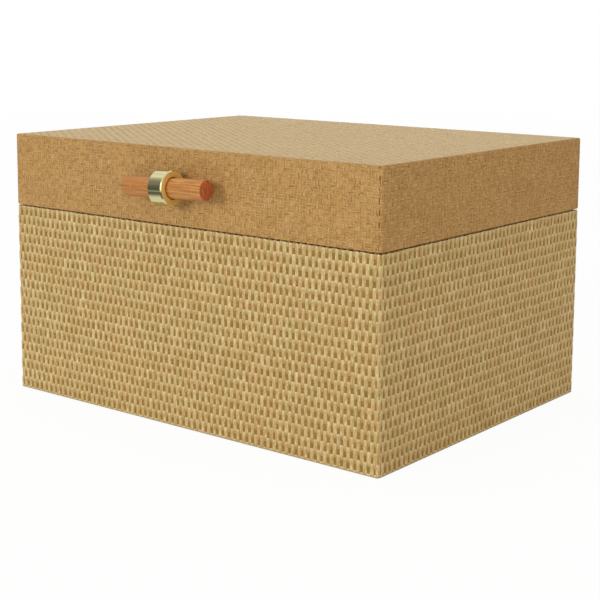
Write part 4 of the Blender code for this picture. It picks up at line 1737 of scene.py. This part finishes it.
@dataclass
class Linings:
    """The lining panels: card wrapped in cloth, with soft edges and a slight crown."""

    cloth: Cloth
    edge: float = 0.0005
    crown: float = 0.0003
    margin: float = 0.004
    border: float = 0.002
    body_middle: float = 0.09
    lid_middle: float = 0.150
    least_area: float = 0.0001
    # The edges that stay sharp are sharper than this, in degrees.
    card_angle: float = 50

    def panel(self, node: str, carrier: Carrier, material: bpy.types.Material) -> None:
        """Model one panel in the place of its node.

        Args:
            node: The CAD node that it stands for.
            carrier: The body that it rides on.
            material: The cloth.
        """
        low, high = (Vector(corner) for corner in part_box(node))
        sizes = high - low
        thin = min(range(3), key=lambda axis: sizes[axis])
        goal = Vector((0, 0, self.body_middle if carrier is Carrier.BODY else self.lid_middle))
        inward = 1 if goal[thin] > ((low + high) / 2)[thin] else -1
        face = high[thin] if inward > 0 else low[thin]
        piece = start_block(node + "_wrapped", low, high)
        open_edit(piece)
        round_edges(piece, lambda e: abs(middle(e)[thin] - face) < SAME, self.edge, 2)
        pick(piece, "FACE", lambda f: f.normal[thin] * inward > SQUARE and f.calc_area() > self.least_area)
        bpy.ops.mesh.inset(thickness=self.margin)
        fall = [0.0, 0.0, 0.0]
        fall[thin] = -inward * self.crown
        pick(piece, "VERT", lambda v: abs(v.co[thin] - face) < SAME and self.by_border(v.co, low, high, thin))
        bpy.ops.transform.translate(value=fall)
        close_edit()
        hand_over(piece, self.card_angle, material, carrier, "lining_cloth", node)

    def by_border(self, place: Vector, low: Vector, high: Vector, thin: int) -> bool:
        """Say whether a place lies by the border of a panel's face, whose thin way is one of the three."""
        spans = [min(place[axis] - low[axis], high[axis] - place[axis]) for axis in range(3) if axis != thin]
        return min(spans) < self.border

    def build(self) -> None:
        """Build the panels of the body and the lid."""
        material = self.cloth.material()
        for carrier, closed_end in ((Carrier.BODY, "floor"), (Carrier.LID, "top")):
            for side in (closed_end, "front", "back", "left", "right"):
                self.panel(f"{carrier.value}_lining_{side}", carrier, material)


@dataclass
class Hardware:
    """The hinges, their screws, and the pull's screw and washer, smoothed copies of their nodes."""

    nodes: dict[str, bpy.types.Object]
    weld: float = 0.000002
    flat_angle: float = 5.0
    square_angle: float = 60.0
    # The edges that stay sharp are sharper than this, in degrees.
    metal_angle: float = 30

    def smoothed(self, node: str, carrier: Carrier, slot: str, material: bpy.types.Material) -> None:
        """Copy a node's mesh, merge its loose faces, smooth it and stand the copy in its place.

        Args:
            node: The CAD node.
            carrier: The body that it rides on.
            slot: The record's material slot.
            material: The finish.
        """
        piece = bpy.data.objects.new(node + "_smoothed", self.nodes[node].data.copy())
        bpy.context.collection.objects.link(piece)
        open_edit(piece)
        bpy.ops.mesh.select_all(action="SELECT")
        bpy.ops.mesh.remove_doubles(threshold=self.weld)
        bpy.ops.mesh.tris_convert_to_quads(face_threshold=math.radians(self.flat_angle),
                                           shape_threshold=math.radians(self.square_angle))
        close_edit()
        hand_over(piece, self.metal_angle, material, carrier, slot, node)

    def build(self) -> None:
        """Build all the metal parts apart from the ring."""
        brass = Brass("hinge_brass_finish", (196, 160, 92), roughness=0.24).material()
        steel = Steel().material()
        for side in ("left", "right"):
            for carrier in Carrier:
                stem = f"hinge_{side}_{carrier.value}"
                self.smoothed(stem + "_leaf", carrier, "hinge_brass", brass)
                for number in (1, 2):
                    self.smoothed(f"{stem}_screw_{number}", carrier, "hinge_brass", brass)
            self.smoothed(f"hinge_{side}_pin", Carrier.BODY, "hinge_brass", brass)
        for node in ("pull_screw", "pull_washer"):
            self.smoothed(node, Carrier.LID, "screw_steel", steel)


@dataclass
class Boards:
    """The boards and the sheet under the body, whose nodes keep their shape."""

    nodes: dict[str, bpy.types.Object]

    def build(self) -> None:
        """Give the boards and the underside sheet their materials."""
        board = Board().material()
        felt = Felt("underside_felt_finish", (122, 100, 74), (92, 74, 52)).material()
        for name, node in self.nodes.items():
            if name.endswith("_board"):
                node.material_slots[0].material = board
        self.nodes["underside_sheet"].material_slots[0].material = felt
        log.info("boards and underside sheet dressed")


@dataclass(frozen=True)
class Lamp:
    """A soft square lamp that faces the box, and that metal doesn't mirror."""

    name: str
    place: Spot
    power: float
    size: float
    colour: Spot = (1.0, 1.0, 1.0)

    def stand(self, aim: Vector) -> None:
        """Stand the lamp in its place.

        Args:
            aim: The point that it faces.
        """
        bpy.ops.object.light_add(type="AREA", location=self.place)
        lamp = bpy.context.active_object
        lamp.name = self.name
        lamp.data.energy = self.power
        lamp.data.color = self.colour
        lamp.data.shape = "SQUARE"
        lamp.data.size = self.size
        lamp.rotation_mode = "QUATERNION"
        lamp.rotation_quaternion = (aim - Vector(self.place)).to_track_quat("-Z", "Y")
        lamp.visible_glossy = False


@dataclass(frozen=True)
class Flag:
    """A glowing grey panel beside the table, which is no lamp and is seen only in glossy reflections, where
    it paints the dark and bright reflections in polished metal.
    """

    name: str
    size: Pair
    place: Spot
    # How bright it is at places from 0 at its foot to 1 at its top.
    shades: tuple[Pair, ...]
    # How far it leans back from upright, up to 90, and which way its width runs, both in degrees.
    tilt: float = 90.0
    turn: float = -38.0
    # The share of a shade that shows in red, green and blue.
    warmth: Spot = (1.0, 0.97, 0.93)

    def stand(self) -> None:
        """Stand the flag in its place."""
        bpy.ops.object.select_all(action="DESELECT")
        bpy.ops.mesh.primitive_plane_add(size=1, location=self.place)
        flag = name_it(self.name)
        flag.scale = (*self.size, 1)
        flag.rotation_euler = (math.radians(90 - self.tilt), 0, math.radians(self.turn))
        for ray in ("camera", "diffuse", "transmission", "volume_scatter", "shadow"):
            setattr(flag, "visible_" + ray, False)
        # The glow paints reflections, with no lamp behind it, graded from its foot to its top.
        shader = Shader(self.name + "_cloth")
        height = shader.maths("ADD", shader.parts(shader.place())[1], 0.5)
        greys = [(at, (*(shade * part for part in self.warmth), 1)) for at, shade in self.shades]
        glow = shader.stops(height, greys)
        shader.feed(shader.surface, {"Emission Color": glow, "Emission Strength": 1.0})
        dress(flag, shader.coat((0, 0, 0, 1), 1.0))


LAMPS = (Lamp("key_lamp", (-0.80, -2.85, 0.90), power=31.5, size=0.75),
         Lamp("top_lamp", (-0.3, 0.1, 2.4), power=13.0, size=1.6),
         Lamp("fill_lamp", (1.9, -0.9, 1.3), power=12.0, size=2.2, colour=(1.0, 0.78, 0.42)))

# Painted reflections: glowing panels that only glossy rays see, for the dark and bright bands in the ring and
# the glint on its chamfer.
FLAGS = (Flag("standing_flag", (6.0, 2.6), (-0.62, -0.90, 1.30),
              ((0.0, 0.12), (0.06, 0.12), (0.15, 0.19), (0.19, 0.28), (0.25, 0.25), (0.31, 0.36),
               (0.37, 0.46), (0.44, 0.72), (0.54, 1.1), (0.70, 1.0), (0.85, 0.85), (1.0, 0.85)), tilt=0),
         Flag("lying_flag", (4.0, 0.90), (-0.396, -0.507, 0.002),
              ((0.0, 0.12), (0.15, 0.14), (0.32, 0.38), (0.50, 0.36), (0.60, 0.12), (0.74, 0.12),
               (0.81, 0.26), (0.85, 0.44), (0.89, 0.66), (0.92, 0.9), (0.96, 0.9), (1.0, 0.8))),
         Flag("side_flag", (2.0, 2.0), (1.3, 1.0, 0.002), ((0.0, 0.2), (1.0, 0.2))),
         Flag("near_flag", (0.5, 0.3), (0.27, -0.42, 0.002), ((0.0, 0.12), (1.0, 0.12))),
         # A bright card that paints the glint on the ring's chamfer.
         Flag("painted_glint_card", (0.9, 1.3), (1.40, -1.45, 0.66), ((0.0, 1.9), (1.0, 1.9)), tilt=0, turn=46.0))


@dataclass
class Studio:
    """A plain white studio: floor, soft lamps, and the photograph's camera."""

    camera_place: Spot = (0.5741, -0.7214, 0.2580)
    azimuth: float = 38.39
    elevation: float = 8.15
    roll: float = 0.35
    lens: float = 81.65
    sensor: float = 36.0
    shift_y: float = -0.15
    clip: Pair = (0.01, 100.0)
    sky: float = 0.49
    aim: Spot = (0.0, 0.0, 0.09)
    floor_size: float = 60.0
    floor_level: float = -0.0002
    floor_share: float = 0.94
    floor_glow: Pair = (1.005, 1.032)
    floor_fade: Pair = (0.5, 4.0)
    floor_mottle: Grain = (3.0, 1.0)
    floor_greys: Pair = (0.91, 0.93)
    floor_roughness: float = 0.9

    def camera(self) -> None:
        """Place the camera where the photograph was taken."""
        bpy.ops.object.camera_add(location=self.camera_place)
        camera = bpy.context.active_object
        camera.rotation_mode = "QUATERNION"
        turn = Euler((math.radians(90 - self.elevation), 0, math.radians(self.azimuth)), "XYZ")
        roll = Euler((0, 0, math.radians(self.roll)), "XYZ")
        camera.rotation_quaternion = turn.to_quaternion() @ roll.to_quaternion()
        camera.data.lens = self.lens
        camera.data.sensor_width = self.sensor
        camera.data.shift_y = self.shift_y
        camera.data.clip_start, camera.data.clip_end = self.clip
        bpy.context.scene.camera = camera

    def world(self) -> None:
        """Light the scene evenly, and show white behind it."""
        world = bpy.data.worlds.new("white_studio")
        bpy.context.scene.world = world
        world.use_nodes = True
        nodes = Nodes(world.node_tree)
        nodes.tree.nodes.clear()
        soft, white = (nodes.node("Background", {"Color": (1, 1, 1, 1), "Strength": strength})
                       for strength in (self.sky, 1.0))
        mixed = nodes.node("MixShader", {"Fac": nodes.seen(), 1: soft.outputs[0], 2: white.outputs[0]})
        nodes.node("OutputWorld", {"Surface": mixed.outputs[0]})

    def floor(self) -> None:
        """Lay a wide pale floor that glows white towards the camera and keeps a soft shadow."""
        bpy.ops.object.select_all(action="DESELECT")
        bpy.ops.mesh.primitive_plane_add(size=self.floor_size, location=(0, 0, self.floor_level))
        floor = name_it("studio_floor")
        shader = Shader("white_floor")
        reach = shader.node("VectorMath", {0: shader.place()}, operation="LENGTH")
        far = shader.ease(reach.outputs["Value"], *self.floor_fade)
        glow = shader.node("Emission", {"Strength": shader.spread(far, *self.floor_glow)})
        mottle = shader.noise(shader.place(), *self.floor_mottle)
        greys = [(grey, grey, grey, 1) for grey in self.floor_greys]
        shader.coat(shader.blend(mottle, *greys), self.floor_roughness)
        share = shader.maths("MULTIPLY", shader.seen(), self.floor_share)
        mixed = shader.node("MixShader", {"Fac": share, 1: shader.surface.outputs[0], 2: glow.outputs[0]})
        shader.feed(shader.tree.nodes["Material Output"], {"Surface": mixed.outputs[0]})
        dress(floor, shader.material)

    def build(self) -> None:
        """Build the studio."""
        self.camera()
        self.world()
        self.floor()
        for flag in FLAGS:
            flag.stand()
        for lamp in LAMPS:
            lamp.stand(Vector(self.aim))
        bpy.context.scene.view_settings.view_transform = "Standard"
        log.info("studio built")


def main() -> None:
    """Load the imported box, dress it and put it in the studio."""
    logging.basicConfig(level=logging.INFO, format="%(name)s: %(message)s")
    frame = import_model()
    nodes = frame["nodes"]
    body_fold = Folding(height=0.1283)
    lid_fold = Folding(base=0.177, sense=-1.0, height=0.0483, end_round=0.0012)
    ring_low, ring_high = (Vector(corner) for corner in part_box("pull_ring"))
    pull_centre = Vector((0, ring_low.y + Pull.ring_radius, (ring_low.z + ring_high.z) / 2))
    top_paper = Paper("paper_strips_top", dark_tone_and_shade=(100, 60, 10), gloss=0.28, sheen=0.5, lines=0.75,
                      tint=(1.0, 0.92, 0.56))

    Studio().build()
    Boards(nodes).build()
    StrawWeave(body_fold, Straw(), Thread()).build()
    PaperWeave(lid_fold, Paper(), top_paper).build()
    Pull(pull_centre).build()
    Linings(Cloth("lining_cloth_finish", (222, 203, 166), (170, 146, 106))).build()
    Hardware(nodes).build()


if __name__ == "__main__":
    main()
